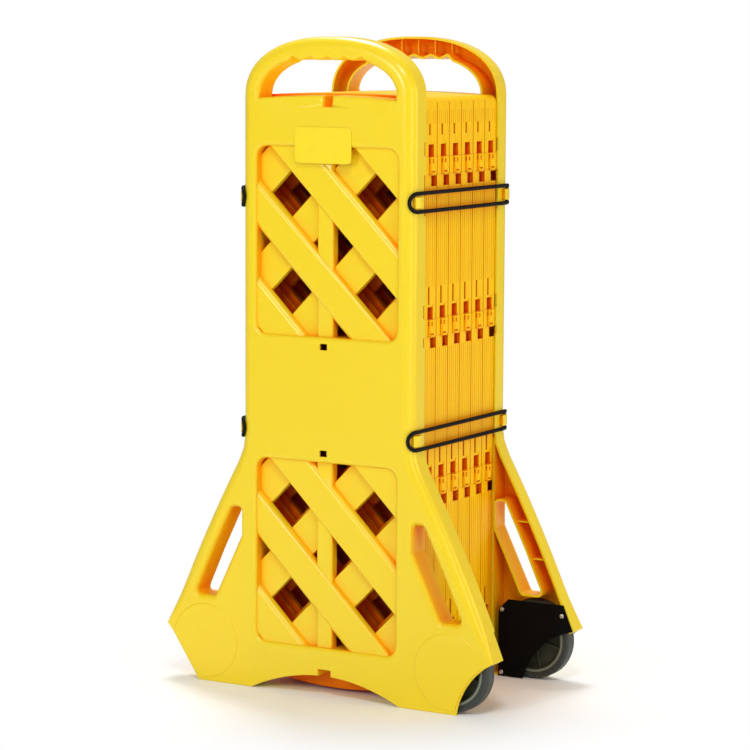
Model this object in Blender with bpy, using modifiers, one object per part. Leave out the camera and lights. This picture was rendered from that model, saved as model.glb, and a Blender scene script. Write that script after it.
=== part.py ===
"""Expandable safety barrier, folded: two end panels with legs, joined by a stack of hinged lattice panels."""
from math import atan2, cos, pi, radians, sin, sqrt

import bmesh
import bpy
from mathutils import Matrix, Vector

# Overall sizes, in metres; X runs to the wheels, Y from the front to the rear, Z up
HEIGHT = 1.000
BODY_WIDTH = 0.300
BASE_WIDTH = 0.578
SHELL_DEPTH = 0.040
WALL = 0.0035
PANEL_COUNT = 12
PANEL_THICKNESS = 0.0185
GAP = 0.0003
WELD = 0.000003
OVERRUN = 0.002

# Steps along curves, and angles in degrees
HANDLE_STEPS = 14
ARM_STEPS = 4
ARCH_STEPS = 4
SCOOP_STEPS = 5
ROUND_STEPS = 2
PANEL_END_STEPS = 6
FLAT_DEGREES = 0.5
PLANAR_DEGREES = 0.1
SMOOTH_DEGREES = 40
CORD_SMOOTH_DEGREES = 60

# Handle at the top of each end panel
HANDLE_HEIGHT = 0.092
HANDLE_LEG = 0.031
GRIP_BAND = 0.030
GRIP_PITCH = 0.030
GRIP_BUMP = 0.005
GRIP_BUMPS = 4
GRIP_VALLEY_SHARE = 0.3
HANDLE_ROUNDNESS_SHARE = 2.3
DECK_CROWN = 0.005
DECK_NOTCH_WIDTH = 0.0165
DECK_NOTCH_DEPTH = 0.0125
DECK_NOTCH_OFFSET = 0.0018

# Windows and lattice, alike on every panel
WINDOW_MARGIN = 0.027
WINDOW_SILL = 0.075
WINDOW_BAND = 0.191
WINDOW_HEAD = 0.072
WINDOW_RADIUS = 0.020
LATTICE_PITCH = 0.0740
LATTICE_SHIFT = 0.0068
LATTICE_DROP = 0.0017
LATTICE_SLATS = 4
SLAT_WIDTH = 0.0537
SLAT_ROUND = 0.005
SLAT_FRONT = 0.0045
SLAT_MIDDLE = 0.0145
SLAT_BACK = 0.0240
SLAT_SEAT = 0.0015
SLANT_TOLERANCE = 0.3
POST_WIDTH = 0.0277
POST_OFFSET = -0.0048
POST_FRONT = 0.0072
POST_BACK = 0.0222
POST_ROUND = 0.004

# Legs, feet and hand slots
ARM_TOP = 0.372
ARM_TIP = 0.084
ARM_BULGE = 0.006
FOOT_STEP = 0.0125
FOOT_REACH_SHARE = 0.56835
ARCH_HALF_WIDTH = 0.132
ARCH_RISE = 0.032
ARCH_NOTCH_WIDTH = 0.022
ARCH_NOTCH_DEPTH = 0.010
BITE_RADIUS = 0.117
SLOT_RIM = 0.031
SLOT_TOP_WIDTH = 0.0078
SLOT_KNEE = 0.236
SLOT_BOTTOM = 0.136
SLOT_WIDTH = 0.036
SLOT_RADIUS = 0.008
SLOT_OFFSET = 0.002

# Edge rounding of the shells
ROUND_BODY = 0.018
ROUND_TIP = 0.004
ROUND_GRIP = 0.008

# Inner panels and their hinges
PANEL_INSET = 0.003
PANEL_ABOVE_DECK = 0.008
PANEL_TOP_RISE = 0.004
PANEL_BOTTOM = 0.006
PANEL_BOTTOM_RISE = 0.016
PANEL_CORNER = 0.012
HINGE_STATIONS = 4
HINGE_LOWEST = 0.085
HINGE_BELOW_TOP = 0.105
KNUCKLE_RADIUS = 0.0065
KNUCKLE_LENGTH = 0.025
KNUCKLE_CLEARANCE = 0.0006
RECESS_HEIGHT = 0.018
KNUCKLE_SIDES = 8

# Wheels, axles and their covers
WHEEL_PLACE_SHARE = 0.47482
WHEEL_RADIUS = 0.0625
WHEEL_LIFT = 0.0015
TYRE_THICKNESS = 0.010
TYRE_ROUND = 0.005
WHEEL_WIDTH = 0.024
WHEEL_CLEARANCE = 0.0045
HUB_RIM = 0.006
HUB_WEB = 0.004
HUB_BOSS_RADIUS = 0.012
AXLE_RADIUS = 0.005
RUNNING_GAP = 0.0004
WASHER_THICKNESS = 0.0012
WASHER_RADIUS = 0.010
COVER_THICKNESS = 0.003
COVER_RECESS = 0.001
COVER_MARGIN = 0.001
COVER_TOP = 0.124
COVER_CUT = 0.0165
COVER_OFFSET = 0.009
COVER_FOOT_SHARE = 0.3741
SCREW_RADIUS = 0.0017
SCREW_HEAD_RADIUS = 0.0036
SCREW_HEAD_HEIGHT = 0.0018
SCREW_LENGTH = 0.012
SCREW_CLEARANCE = 0.0004
SCREW_INSET = 0.006
SCREW_EDGE = 0.0095
SCREW_DOME_SHARE = 0.75
SCREW_SIDES = 8
BOSS_RADIUS = 0.0042
BOSS_ROOT_SHARE = 0.75
AXLE_SIDES = 12
WHEEL_SEGMENTS = 24
ROOM_SIDES = 32

# Elastic loops and the tabs that hold them
CORD_RADIUS = 0.003
LOOP_HALF_HEIGHT = 0.0135
LOOP_BELOW_DECK = 0.150
LOOP_ABOVE_ARM = 0.032
LOOP_REACH_DEGREES = 78
LOOP_STRAIGHT_SHARE = 0.8
LOOP_END_STEPS = 6
TAB_HEIGHT = 0.017
TAB_LENGTH = 0.0065
TAB_FIRST_DEGREES = 30
TAB_LAST_DEGREES = 56

# Ribs, and the blank plate on each end panel
RIB = 0.0025
RIB_SETBACK = 0.006
RIB_REACH = 0.0615
FOOT_RIB_REACH = 0.100
LEG_RIBS = (0.192, 0.249)
PLATE_WIDTH = 0.099
PLATE_HEIGHT = 0.0543
PLATE_OFFSET = -0.0042
PLATE_THICKNESS = 0.0014
PLATE_BELOW_DECK = 0.0692
PLATE_RADIUS = 0.0095
SQUARE_HOLE_WIDTH = 0.0126
SQUARE_HOLE_HEIGHT = 0.0097
SQUARE_HOLE_OFFSET = -0.0027
SQUARE_HOLE_INSET = 0.0145

# Colours, each with its roughness, and metal or not
YELLOW = (0.95, 0.56, 0.006, 1), 0.28, 0
YELLOW_INNER = (0.93, 0.52, 0.006, 1), 0.34, 0
YELLOW_PLATE = (0.95, 0.56, 0.006, 1), 0.22, 0
BLACK_ELASTIC = (0.03, 0.032, 0.033, 1), 0.55, 0
GREY_RUBBER = (0.045, 0.050, 0.050, 1), 0.62, 0
BLACK_HUB = (0.012, 0.012, 0.012, 1), 0.35, 0
BLACK_COVER = (0.012, 0.012, 0.012, 1), 0.45, 0
STEEL = (0.62, 0.62, 0.60, 1), 0.3, 1

# Sizes that follow
PITCH = PANEL_THICKNESS + GAP
DEPTH = 2 * SHELL_DEPTH + PANEL_COUNT * PITCH + GAP
HALF_BODY = BODY_WIDTH / 2
HALF_BASE = BASE_WIDTH / 2
HINGE_X = HALF_BODY - PANEL_INSET
LEG_REACH = HALF_BASE - HALF_BODY
DECK = HEIGHT - HANDLE_HEIGHT
PANEL_TOP = DECK + PANEL_ABOVE_DECK
PLATE_CENTRE = DECK - PLATE_BELOW_DECK
LOOP_UPPER = DECK - LOOP_BELOW_DECK
LOOP_LOWER = ARM_TOP + LOOP_ABOVE_ARM
FOOT_REACH = HALF_BODY + FOOT_REACH_SHARE * LEG_REACH
WHEEL_X = HALF_BODY + WHEEL_PLACE_SHARE * LEG_REACH
WHEEL_Z = WHEEL_RADIUS + WHEEL_LIFT
WHEEL_FRONT = (SHELL_DEPTH - COVER_THICKNESS - COVER_RECESS + WALL - WHEEL_WIDTH) / 2
COVER_BACK = SHELL_DEPTH - COVER_RECESS
COVER_FRONT = COVER_BACK - COVER_THICKNESS
COVER_LEFT = HALF_BODY + COVER_OFFSET
COVER_FOOT = HALF_BODY + COVER_FOOT_SHARE * LEG_REACH
WINDOW_HEIGHT = (DECK - WINDOW_HEAD - WINDOW_BAND - WINDOW_SILL) / 2
WINDOW_CENTRES = [WINDOW_SILL + WINDOW_HEIGHT / 2 + n * (WINDOW_HEIGHT + WINDOW_BAND) for n in range(2)]
HINGE_SPACING = (PANEL_TOP - HINGE_BELOW_TOP - HINGE_LOWEST) / (HINGE_STATIONS - 1)
HINGE_LEVELS = [HINGE_LOWEST + n * HINGE_SPACING for n in range(HINGE_STATIONS)]


for old in list(bpy.data.objects):
    bpy.data.objects.remove(old)
PARTS = bpy.data.collections.new("expandable_safety_barrier")
CUTTERS = bpy.data.collections.new("cutters")
bpy.context.scene.collection.children.link(PARTS)
bpy.context.scene.collection.children.link(CUTTERS)


# Materials

def plain(name, look):
    """A plain Principled material."""
    colour, roughness, metallic = look
    material = bpy.data.materials.new(name)
    material.use_nodes = True
    shader = material.node_tree.nodes["Principled BSDF"]
    shader.inputs["Base Color"].default_value = colour
    shader.inputs["Roughness"].default_value = roughness
    shader.inputs["Metallic"].default_value = metallic
    return material


# Outlines, as lists of (x, z) points that run anticlockwise seen from the front

def arc(centre, radius, start, end, steps):
    """Points on a circle from one angle to another, in degrees."""
    angles = [radians(start + (end - start) * n / steps) for n in range(steps + 1)]
    return [(centre[0] + radius * cos(a), centre[1] + radius * sin(a)) for a in angles]


def rounded(points, radius, steps=ROUND_STEPS):
    """The same outline with each corner turned into an arc."""
    result = []
    for n, corner in enumerate(points):
        before = Vector(points[n - 1]) - Vector(corner)
        after = Vector(points[(n + 1) % len(points)]) - Vector(corner)
        half = before.angle(after) / 2
        reach = min(radius / (sin(half) / cos(half)), before.length / 2, after.length / 2)
        first = Vector(corner) + before.normalized() * reach
        last = Vector(corner) + after.normalized() * reach
        for k in range(steps + 1):
            t = k / steps
            point = first * (1 - t) ** 2 + Vector(corner) * (2 * t * (1 - t)) + last * t ** 2
            result.append((point.x, point.y))
    return result


def mitres(outline):
    """The outward step at each point that moves both edges beside it by one metre."""
    steps = []
    for n, point in enumerate(outline):
        before = (Vector(point) - Vector(outline[n - 1])).normalized()
        after = (Vector(outline[(n + 1) % len(outline)]) - Vector(point)).normalized()
        normals = Vector((before.y, -before.x)), Vector((after.y, -after.x))
        steps.append((normals[0] + normals[1]) / (1 + normals[0].dot(normals[1])))
    return steps


def grown(outline, amount):
    """The outline moved outward all round."""
    return [(x + step.x * amount, z + step.y * amount) for (x, z), step in zip(outline, mitres(outline))]


def rectangle(left, right, bottom, top):
    """A plain rectangle."""
    return [(left, bottom), (right, bottom), (right, top), (left, top)]


def mirrored(points):
    """The outline on the other side of the middle, still anticlockwise."""
    return [(-x, z) for x, z in reversed(points)]


def dome(half_width, rise, degrees, steps):
    """Points on a squarish arch above the deck, from its right end through an angle."""
    power = 2 / HANDLE_ROUNDNESS_SHARE
    points = []
    for n in range(steps + 1):
        a = radians(degrees * n / steps)
        side = 1 if cos(a) >= 0 else -1
        points.append((side * half_width * abs(cos(a)) ** power, DECK + rise * abs(sin(a)) ** power))
    return points


def arm_edge(z):
    """How far out the leg's outer edge is at a height."""
    t = (ARM_TOP - z) / (ARM_TOP - ARM_TIP)
    bulge = 1 - (1 - 2 * t) ** 2
    return HALF_BODY + t * LEG_REACH + ARM_BULGE * bulge


def arm_level(x):
    """The height at which the leg's outer edge is that far out."""
    slope = LEG_REACH + 4 * ARM_BULGE
    t = (slope - sqrt(slope ** 2 - 16 * ARM_BULGE * (x - HALF_BODY))) / (8 * ARM_BULGE)
    return ARM_TOP - t * (ARM_TOP - ARM_TIP)


def arm_points():
    """The right leg's outer edge from its tip up to the body."""
    levels = [ARM_TIP + (ARM_TOP - ARM_TIP) * n / ARM_STEPS for n in range(ARM_STEPS + 1)]
    return [(arm_edge(z), z) for z in levels]


def arch_height(x):
    """The arch under the base."""
    return ARCH_RISE * (1 - (x / ARCH_HALF_WIDTH) ** 2)


def scoop(foot, tip, steps=SCOOP_STEPS):
    """The arc that shows the wheel, from a point on the foot up to the leg's tip."""
    start, end = Vector(foot), Vector(tip)
    chord = end - start
    height = sqrt(BITE_RADIUS ** 2 - (chord.length / 2) ** 2)
    centre = (start + end) / 2 + Vector((chord.y, -chord.x)).normalized() * height
    first = atan2(start.y - centre.y, start.x - centre.x)
    last = atan2(end.y - centre.y, end.x - centre.x)
    angles = [first + (last - first) * n / steps for n in range(steps + 1)]
    return [(centre.x + BITE_RADIUS * cos(a), centre.y + BITE_RADIUS * sin(a)) for a in angles]


def shell_outline():
    """The whole outer edge of an end panel."""
    notch = ARCH_NOTCH_WIDTH / 2
    notch_top = arch_height(notch) + ARCH_NOTCH_DEPTH
    step = (ARCH_HALF_WIDTH - notch) / ARCH_STEPS
    places = [-ARCH_HALF_WIDTH + n * step for n in range(ARCH_STEPS + 1)]
    left_arch = [(x, arch_height(x)) for x in places]
    right_arch = [(-x, z) for x, z in reversed(left_arch)]
    left_foot = [(-HALF_BASE + FOOT_STEP, ARM_TIP - FOOT_STEP), (-FOOT_REACH, 0)]
    handle = dome(HALF_BODY, HANDLE_HEIGHT, 180, HANDLE_STEPS)
    wheel_scoop = scoop((FOOT_REACH, 0), (HALF_BASE, ARM_TIP))[:-1]
    return (left_foot + left_arch + [(-notch, notch_top), (notch, notch_top)] + right_arch
            + wheel_scoop + arm_points() + handle + mirrored(arm_points()))


def deck_height(x):
    """The crowned floor of the handle's opening."""
    return DECK + DECK_CROWN * (1 - (x / (HALF_BODY - HANDLE_LEG)) ** 2)


def grip_opening():
    """The hole of the handle, with finger bumps on the underside of the grip."""
    half_width = HALF_BODY - HANDLE_LEG
    rise = HANDLE_HEIGHT - GRIP_BAND
    row = GRIP_BUMPS * GRIP_PITCH / 2
    crest = GRIP_PITCH * (1 / 2 - GRIP_VALLEY_SHARE)
    right = [p for p in dome(half_width, rise, 90, HANDLE_STEPS // 2) if p[0] > row + GRIP_BUMP]
    bumps = []
    for n in range(GRIP_BUMPS):
        middle = row - GRIP_PITCH * (n + 1 / 2)
        bumps.append((middle + GRIP_PITCH / 2, DECK + rise))
        bumps.append((middle + crest, DECK + rise - GRIP_BUMP))
        bumps.append((middle - crest, DECK + rise - GRIP_BUMP))
    bumps.append((-row, DECK + rise))
    left = [(-x, z) for x, z in reversed(right)]
    notch_left = DECK_NOTCH_OFFSET - DECK_NOTCH_WIDTH / 2
    notch_right = DECK_NOTCH_OFFSET + DECK_NOTCH_WIDTH / 2
    low = DECK - DECK_NOTCH_DEPTH
    places = [-half_width / 2, notch_left, notch_right, half_width / 2]
    crown = [(x, deck_height(x)) for x in places]
    return right + bumps + left + crown[:2] + [(notch_left, low), (notch_right, low)] + crown[2:]


def window(centre, grow=0.0, steps=ROUND_STEPS):
    """A window's rounded rectangle, or one that is larger all round."""
    half = HALF_BODY - WINDOW_MARGIN + grow
    tall = WINDOW_HEIGHT / 2 + grow
    corners = rectangle(-half, half, centre - tall, centre + tall)
    return rounded(corners, WINDOW_RADIUS + grow, steps)


def hand_slot():
    """The hand slot in the right leg."""
    inner = HALF_BODY + SLOT_OFFSET
    outer_foot = arm_edge(SLOT_BOTTOM) - SLOT_RIM
    top = arm_level(inner + SLOT_TOP_WIDTH + SLOT_RIM)
    middle = (top + SLOT_BOTTOM) / 2
    corners = [(outer_foot - SLOT_WIDTH, SLOT_BOTTOM), (outer_foot, SLOT_BOTTOM),
               (arm_edge(middle) - SLOT_RIM, middle), (inner + SLOT_TOP_WIDTH, top),
               (inner, top), (inner, SLOT_KNEE)]
    return rounded(corners, SLOT_RADIUS)


def clipped(points, direction, low, high):
    """The part of a convex outline between two parallel lines."""
    def keep(outline, sign, limit):
        result = []
        for n, point in enumerate(outline):
            following = outline[(n + 1) % len(outline)]
            here = sign * (point[0] * direction[0] + point[1] * direction[1]) - limit
            there = sign * (following[0] * direction[0] + following[1] * direction[1]) - limit
            if here <= 0:
                result.append(point)
            if min(here, there) < 0 < max(here, there):
                t = here / (here - there)
                result.append(tuple(a + (b - a) * t for a, b in zip(point, following)))
        return result
    strip = keep(keep(points, 1, high), -1, -low)
    return [p for n, p in enumerate(strip) if (Vector(p) - Vector(strip[n - 1])).length > GAP]


def lattice_strips(lean, centre, outline, gaps):
    """Slats, or the gaps between them, across one window; lean is 1 or -1."""
    direction = (1 / sqrt(2), lean / sqrt(2))
    middle = direction[0] * LATTICE_SHIFT + direction[1] * (centre - LATTICE_DROP)
    step = LATTICE_PITCH * sqrt(2)
    half = (step - SLAT_WIDTH) / 2 if gaps else SLAT_WIDTH / 2
    count = LATTICE_SLATS - 1 if gaps else LATTICE_SLATS
    places = [middle + (n - (count - 1) / 2) * step for n in range(count)]
    strips = [clipped(outline, direction, place - half, place + half) for place in places]
    return [strip for strip in strips if len(strip) > 2]


# Solids

def add_object(name, mesh, collection=None):
    """An object that shows a mesh."""
    obj = bpy.data.objects.new(name, mesh)
    (collection or CUTTERS).objects.link(obj)
    return obj


def settle(obj):
    """Turn an object's modifiers into its mesh."""
    bpy.context.view_layer.update()
    evaluated = obj.evaluated_get(bpy.context.evaluated_depsgraph_get())
    mesh = bpy.data.meshes.new_from_object(evaluated)
    obj.modifiers.clear()
    obj.data = mesh
    return obj


def slab(name, outlines, front, back):
    """Flat outlines given thickness along Y."""
    curve = bpy.data.curves.new(name, "CURVE")
    curve.dimensions = "2D"
    curve.fill_mode = "BOTH"
    curve.extrude = (back - front) / 2
    for outline in outlines:
        spline = curve.splines.new("POLY")
        spline.points.add(len(outline) - 1)
        for point, (x, z) in zip(spline.points, outline):
            point.co = (x, z, 0, 1)
        spline.use_cyclic_u = True
    flat = add_object(name + "_outline", curve)
    flat.rotation_euler = (pi / 2, 0, 0)
    flat.location = (0, (front + back) / 2, 0)
    bpy.context.view_layer.update()
    evaluated = flat.evaluated_get(bpy.context.evaluated_depsgraph_get())
    mesh = bpy.data.meshes.new_from_object(evaluated)
    mesh.transform(flat.matrix_world)
    bpy.data.objects.remove(flat)
    bm = bmesh.new()
    bm.from_mesh(mesh)
    bmesh.ops.remove_doubles(bm, verts=bm.verts, dist=WELD)
    bmesh.ops.dissolve_limit(bm, angle_limit=radians(FLAT_DEGREES), verts=bm.verts, edges=bm.edges)
    bm.to_mesh(mesh)
    bm.free()
    return add_object(name, mesh)


def soft_slab(name, outline, radii, front, back, inward=-1):
    """A slab whose front edge is rounded by its own radius at every point, or a flared cutter if inward is 1."""
    bm = bmesh.new()
    rings = []
    for k in range(ROUND_STEPS + 1):
        turn = k / ROUND_STEPS * pi / 2
        ring = []
        for (x, z), step, radius in zip(outline, mitres(outline), radii):
            reach = inward * radius * (1 - sin(turn))
            depth = front + radius * (1 - cos(turn))
            ring.append(bm.verts.new((x + step.x * reach, depth, z + step.y * reach)))
        rings.append(ring)
    if inward > 0:
        rings.insert(0, [bm.verts.new((v.co.x, front - OVERRUN, v.co.z)) for v in rings[0]])
    rings.append([bm.verts.new((x, back, z)) for x, z in outline])
    for near, far in zip(rings, rings[1:]):
        for n in range(len(outline)):
            bm.faces.new((near[n - 1], near[n], far[n], far[n - 1]))
    bm.faces.new(rings[0])
    bm.faces.new(rings[-1])
    bmesh.ops.remove_doubles(bm, verts=bm.verts, dist=WELD)
    bmesh.ops.connect_verts_nonplanar(bm, angle_limit=radians(PLANAR_DEGREES), faces=bm.faces)
    bmesh.ops.recalc_face_normals(bm, faces=bm.faces)
    mesh = bpy.data.meshes.new(name)
    bm.to_mesh(mesh)
    bm.free()
    return add_object(name, mesh)


def box(name, left, right, front, back, bottom, top):
    """A plain box between six planes."""
    bm = bmesh.new()
    bmesh.ops.create_cube(bm, size=1)
    bmesh.ops.scale(bm, vec=(right - left, back - front, top - bottom), verts=bm.verts)
    middle = Vector((left + right, front + back, bottom + top)) / 2
    bmesh.ops.translate(bm, vec=middle, verts=bm.verts)
    mesh = bpy.data.meshes.new(name)
    bm.to_mesh(mesh)
    bm.free()
    return add_object(name, mesh)


def cylinder(name, centre, radius, front, back, sides, axis="Y"):
    """A cylinder along Y between two planes, or along Z between two heights."""
    bm = bmesh.new()
    bmesh.ops.create_cone(bm, cap_ends=True, segments=sides, radius1=radius, radius2=radius,
                          depth=back - front)
    turn = Matrix.Rotation(pi / sides, 4, "Z")
    middle = (front + back) / 2
    if axis == "Y":
        place = Matrix.Translation((centre[0], middle, centre[1])) @ Matrix.Rotation(pi / 2, 4, "X")
    else:
        place = Matrix.Translation((centre[0], centre[1], middle))
    bmesh.ops.transform(bm, matrix=place @ turn, verts=bm.verts)
    mesh = bpy.data.meshes.new(name)
    bm.to_mesh(mesh)
    bm.free()
    return add_object(name, mesh)


def joined(name, objects):
    """Separate solids as one object."""
    bm = bmesh.new()
    for obj in objects:
        bm.from_mesh(obj.data)
        bpy.data.objects.remove(obj)
    mesh = bpy.data.meshes.new(name)
    bm.to_mesh(mesh)
    bm.free()
    return add_object(name, mesh)


def combine(target, tool, operation):
    """Join a tool to an object, or cut the object with it."""
    modifier = target.modifiers.new(tool.name, "BOOLEAN")
    modifier.operation = operation
    modifier.solver = "EXACT"
    modifier.object = tool
    settle(target)
    bpy.data.objects.remove(tool)
    return target


def round_front(obj, front, amount, wanted):
    """Bevel the edges of the front face whose direction is wanted."""
    bm = bmesh.new()
    bm.from_mesh(obj.data)
    layer = bm.edges.layers.float.new("bevel_weight_edge")
    for edge in bm.edges:
        along = (edge.verts[1].co - edge.verts[0].co).normalized()
        if all(abs(v.co.y - front) < GAP for v in edge.verts) and wanted(along):
            edge[layer] = 1
    bm.to_mesh(obj.data)
    bm.free()
    bevel = obj.modifiers.new("rounding", "BEVEL")
    bevel.limit_method = "WEIGHT"
    bevel.width = amount
    bevel.segments = 1
    bevel.use_clamp_overlap = False
    return settle(obj)


def turned(name, profile, segments, centre, front):
    """A profile of (radius, depth) points turned round an axis along Y; it closes unless it starts there."""
    mesh = bpy.data.meshes.new(name)
    points = [(radius, 0, -depth) for radius, depth in profile]
    edges = [(n, n + 1) for n in range(len(points) - 1)]
    if profile[0][0] > 0:
        edges.append((len(points) - 1, 0))
    mesh.from_pydata(points, edges, [])
    obj = add_object(name, mesh)
    screw = obj.modifiers.new("turn", "SCREW")
    screw.axis = "Z"
    screw.steps = segments
    screw.render_steps = segments
    screw.use_merge_vertices = True
    screw.merge_threshold = WELD
    settle(obj)
    place = Matrix.Translation((centre[0], front, centre[1])) @ Matrix.Rotation(pi / 2, 4, "X")
    obj.data.transform(place)
    return face_outward(obj)


def face_outward(obj):
    """Point every face of a closed mesh outward."""
    bm = bmesh.new()
    bm.from_mesh(obj.data)
    bmesh.ops.recalc_face_normals(bm, faces=bm.faces)
    bm.to_mesh(obj.data)
    bm.free()
    return obj


def flipped(obj, name):
    """A copy of an object, mirrored from front to rear."""
    mesh = obj.data.copy()
    mesh.transform(Matrix.Diagonal((1, -1, 1, 1)))
    mesh.flip_normals()
    return add_object(name, mesh)


def finish(obj, name, material, origin=(0, 0, 0), parent=None, smooth=SMOOTH_DEGREES):
    """Name a part, give it its material and origin and put it in the barrier's collection."""
    obj.name = name
    obj.data.name = name
    if parent:
        origin = parent.location
        obj.parent = parent
    else:
        obj.location = origin
    obj.data.transform(Matrix.Translation(-Vector(origin)))
    obj.data.materials.clear()
    obj.data.materials.append(material)
    obj.data.shade_smooth()
    obj.data.set_sharp_from_angle(angle=radians(smooth))
    CUTTERS.objects.unlink(obj)
    PARTS.objects.link(obj)
    return obj


def pivot(name, place):
    """An empty on a joint's axis."""
    empty = bpy.data.objects.new(name, None)
    empty.location = place
    PARTS.objects.link(empty)
    bpy.context.view_layer.update()
    return empty


# End panels, built with their face at y = 0 and their open side at y = SHELL_DEPTH

def edge_radius(z):
    """How far the face's outer edge is rounded at a height."""
    if z < ARM_TIP:
        return 0
    share = min(1, (z - ARM_TIP) / (SLOT_BOTTOM - ARM_TIP))
    return ROUND_TIP + share * (ROUND_BODY - ROUND_TIP)


def shell_skin():
    """The hollow moulding: one face with a wall round its edge and round every opening."""
    outline = shell_outline()
    radii = [edge_radius(z) for _, z in outline]
    shell = soft_slab("shell", outline, radii, 0, SHELL_DEPTH)
    inner_radii = [max(0, radius - WALL) for radius in radii]
    cavity = soft_slab("cavity", grown(outline, -WALL), inner_radii, WALL, SHELL_DEPTH + OVERRUN)
    grip = grip_opening()
    openings = [hand_slot(), mirrored(hand_slot())] + [window(centre) for centre in WINDOW_CENTRES]
    walls = [grown(hole, WALL) for hole in openings + [grip]]
    rims = [slab("rim", [wall], -OVERRUN, SHELL_DEPTH + 2 * OVERRUN) for wall in walls]
    combine(cavity, joined("rims", rims), "DIFFERENCE")
    combine(shell, cavity, "DIFFERENCE")
    holes = [slab("hole", [hole], -OVERRUN, SHELL_DEPTH + OVERRUN) for hole in openings]
    grip_radii = [ROUND_GRIP if z > DECK + GRIP_BUMP else 0 for _, z in grip]
    holes.append(soft_slab("grip", grip, grip_radii, 0, SHELL_DEPTH + OVERRUN, inward=1))
    return combine(shell, joined("openings", holes), "DIFFERENCE")


def along_slat(lean):
    """A test that picks the long edges of slats."""
    return lambda along: abs(along.x + lean * along.z) < SLANT_TOLERANCE


def shell_lattice():
    """The posts in both windows, and two crossing layers of slats behind them."""
    posts = []
    for centre in WINDOW_CENTRES:
        tall = WINDOW_HEIGHT / 2 + SLAT_SEAT
        outline = rectangle(POST_OFFSET - POST_WIDTH / 2, POST_OFFSET + POST_WIDTH / 2,
                            centre - tall, centre + tall)
        post = slab("post", [outline], POST_FRONT, POST_BACK)
        posts.append(round_front(post, POST_FRONT, POST_ROUND, lambda along: abs(along.z) > abs(along.x)))
    parts = [joined("posts", posts)]
    for lean, front, back in ((1, SLAT_FRONT, SLAT_MIDDLE + SLAT_SEAT), (-1, SLAT_MIDDLE, SLAT_BACK)):
        strips = []
        for centre in WINDOW_CENTRES:
            strips += lattice_strips(lean, centre, window(centre, SLAT_SEAT), False)
        parts.append(round_front(slab("slats", strips, front, back), front, SLAT_ROUND, along_slat(lean)))
    return parts


def handle_top(x):
    """The height of the handle's outer edge."""
    share = 1 - (abs(x) / HALF_BODY) ** HANDLE_ROUNDNESS_SHARE
    return DECK + HANDLE_HEIGHT * share ** (1 / HANDLE_ROUNDNESS_SHARE)


def shell_ribs():
    """Stiffening ribs on the open side, and the web that carries the hinges beside each leg."""
    back = SHELL_DEPTH - RIB_SETBACK
    skin = WALL / 2
    half = RIB / 2
    ribs = []
    for n in range(GRIP_BUMPS + 1):
        x = (n - GRIP_BUMPS / 2) * GRIP_PITCH
        bottom = HEIGHT - GRIP_BAND + skin
        ribs.append(box("rib", x - half, x + half, ROUND_BODY, back, bottom, handle_top(x) - skin))
    low, high = (WINDOW_CENTRES[0] + WINDOW_HEIGHT / 2, WINDOW_CENTRES[1] - WINDOW_HEIGHT / 2)
    for side in (-1, 1):
        x = side * RIB_REACH
        ribs.append(box("rib", x - half, x + half, skin, back, low + skin, high - skin))
        x = side * FOOT_RIB_REACH
        ribs.append(box("rib", x - half, x + half, skin, back, arch_height(x) + skin, WINDOW_SILL - skin))
        inner, outer = sorted((side * (HALF_BODY - 2 * GAP), side * (HALF_BODY - WALL - 2 * GAP)))
        ribs.append(box("web", inner, outer, skin, SHELL_DEPTH - GAP, skin, ARM_TOP + 2 * WALL))
        for z in LEG_RIBS:
            start, end = sorted((side * (arm_edge(z) - SLOT_RIM + skin), side * (arm_edge(z) - skin)))
            ribs.append(box("rib", start, end, ROUND_BODY, back, z - half, z + half))
    return ribs


def knuckle(side, boundary, level):
    """A hinge knuckle: a short upright barrel on the axis at one side."""
    half = KNUCKLE_LENGTH / 2
    place = (side * HINGE_X, boundary)
    return cylinder("knuckle", place, KNUCKLE_RADIUS, level - half, level + half, KNUCKLE_SIDES, "Z")


def knuckle_room(side, boundary, level, toward):
    """The pocket that clears a neighbour's knuckle, with a recess above it."""
    reach = KNUCKLE_RADIUS + KNUCKLE_CLEARANCE
    half = KNUCKLE_LENGTH / 2 + KNUCKLE_CLEARANCE
    left, right = sorted((side * (HINGE_X - reach), side * (HALF_BODY + KNUCKLE_RADIUS)))
    front, back = sorted((boundary + toward * reach, boundary - toward * OVERRUN))
    return box("room", left, right, front, back, level - half, level + half + RECESS_HEIGHT)


def tab_block(level):
    """The tab on the right rounded corner that an elastic loop hooks over."""
    centre = (HALF_BODY - ROUND_BODY, ROUND_BODY)
    ring = arc(centre, ROUND_BODY + TAB_LENGTH, -TAB_LAST_DEGREES, -TAB_FIRST_DEGREES, 2)
    ring += arc(centre, ROUND_BODY - WALL / 2, -TAB_FIRST_DEGREES, -TAB_LAST_DEGREES, 2)
    tab = slab("tab", [ring], -TAB_HEIGHT / 2, TAB_HEIGHT / 2)
    tab.data.transform(Matrix.Translation((0, 0, level)) @ Matrix.Rotation(-pi / 2, 4, "X"))
    return tab


def mirror_x(obj):
    """A copy on the other side of the middle."""
    mesh = obj.data.copy()
    mesh.transform(Matrix.Diagonal((-1, 1, 1, 1)))
    mesh.flip_normals()
    return add_object(obj.name, mesh)


def screw_places():
    """Where the wheel cover's three screws sit."""
    left = COVER_LEFT + SCREW_INSET
    top = COVER_TOP - COVER_CUT
    return [(left, top), (arm_edge(top) - SCREW_EDGE, top), (left, COVER_MARGIN + SCREW_INSET)]


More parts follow.
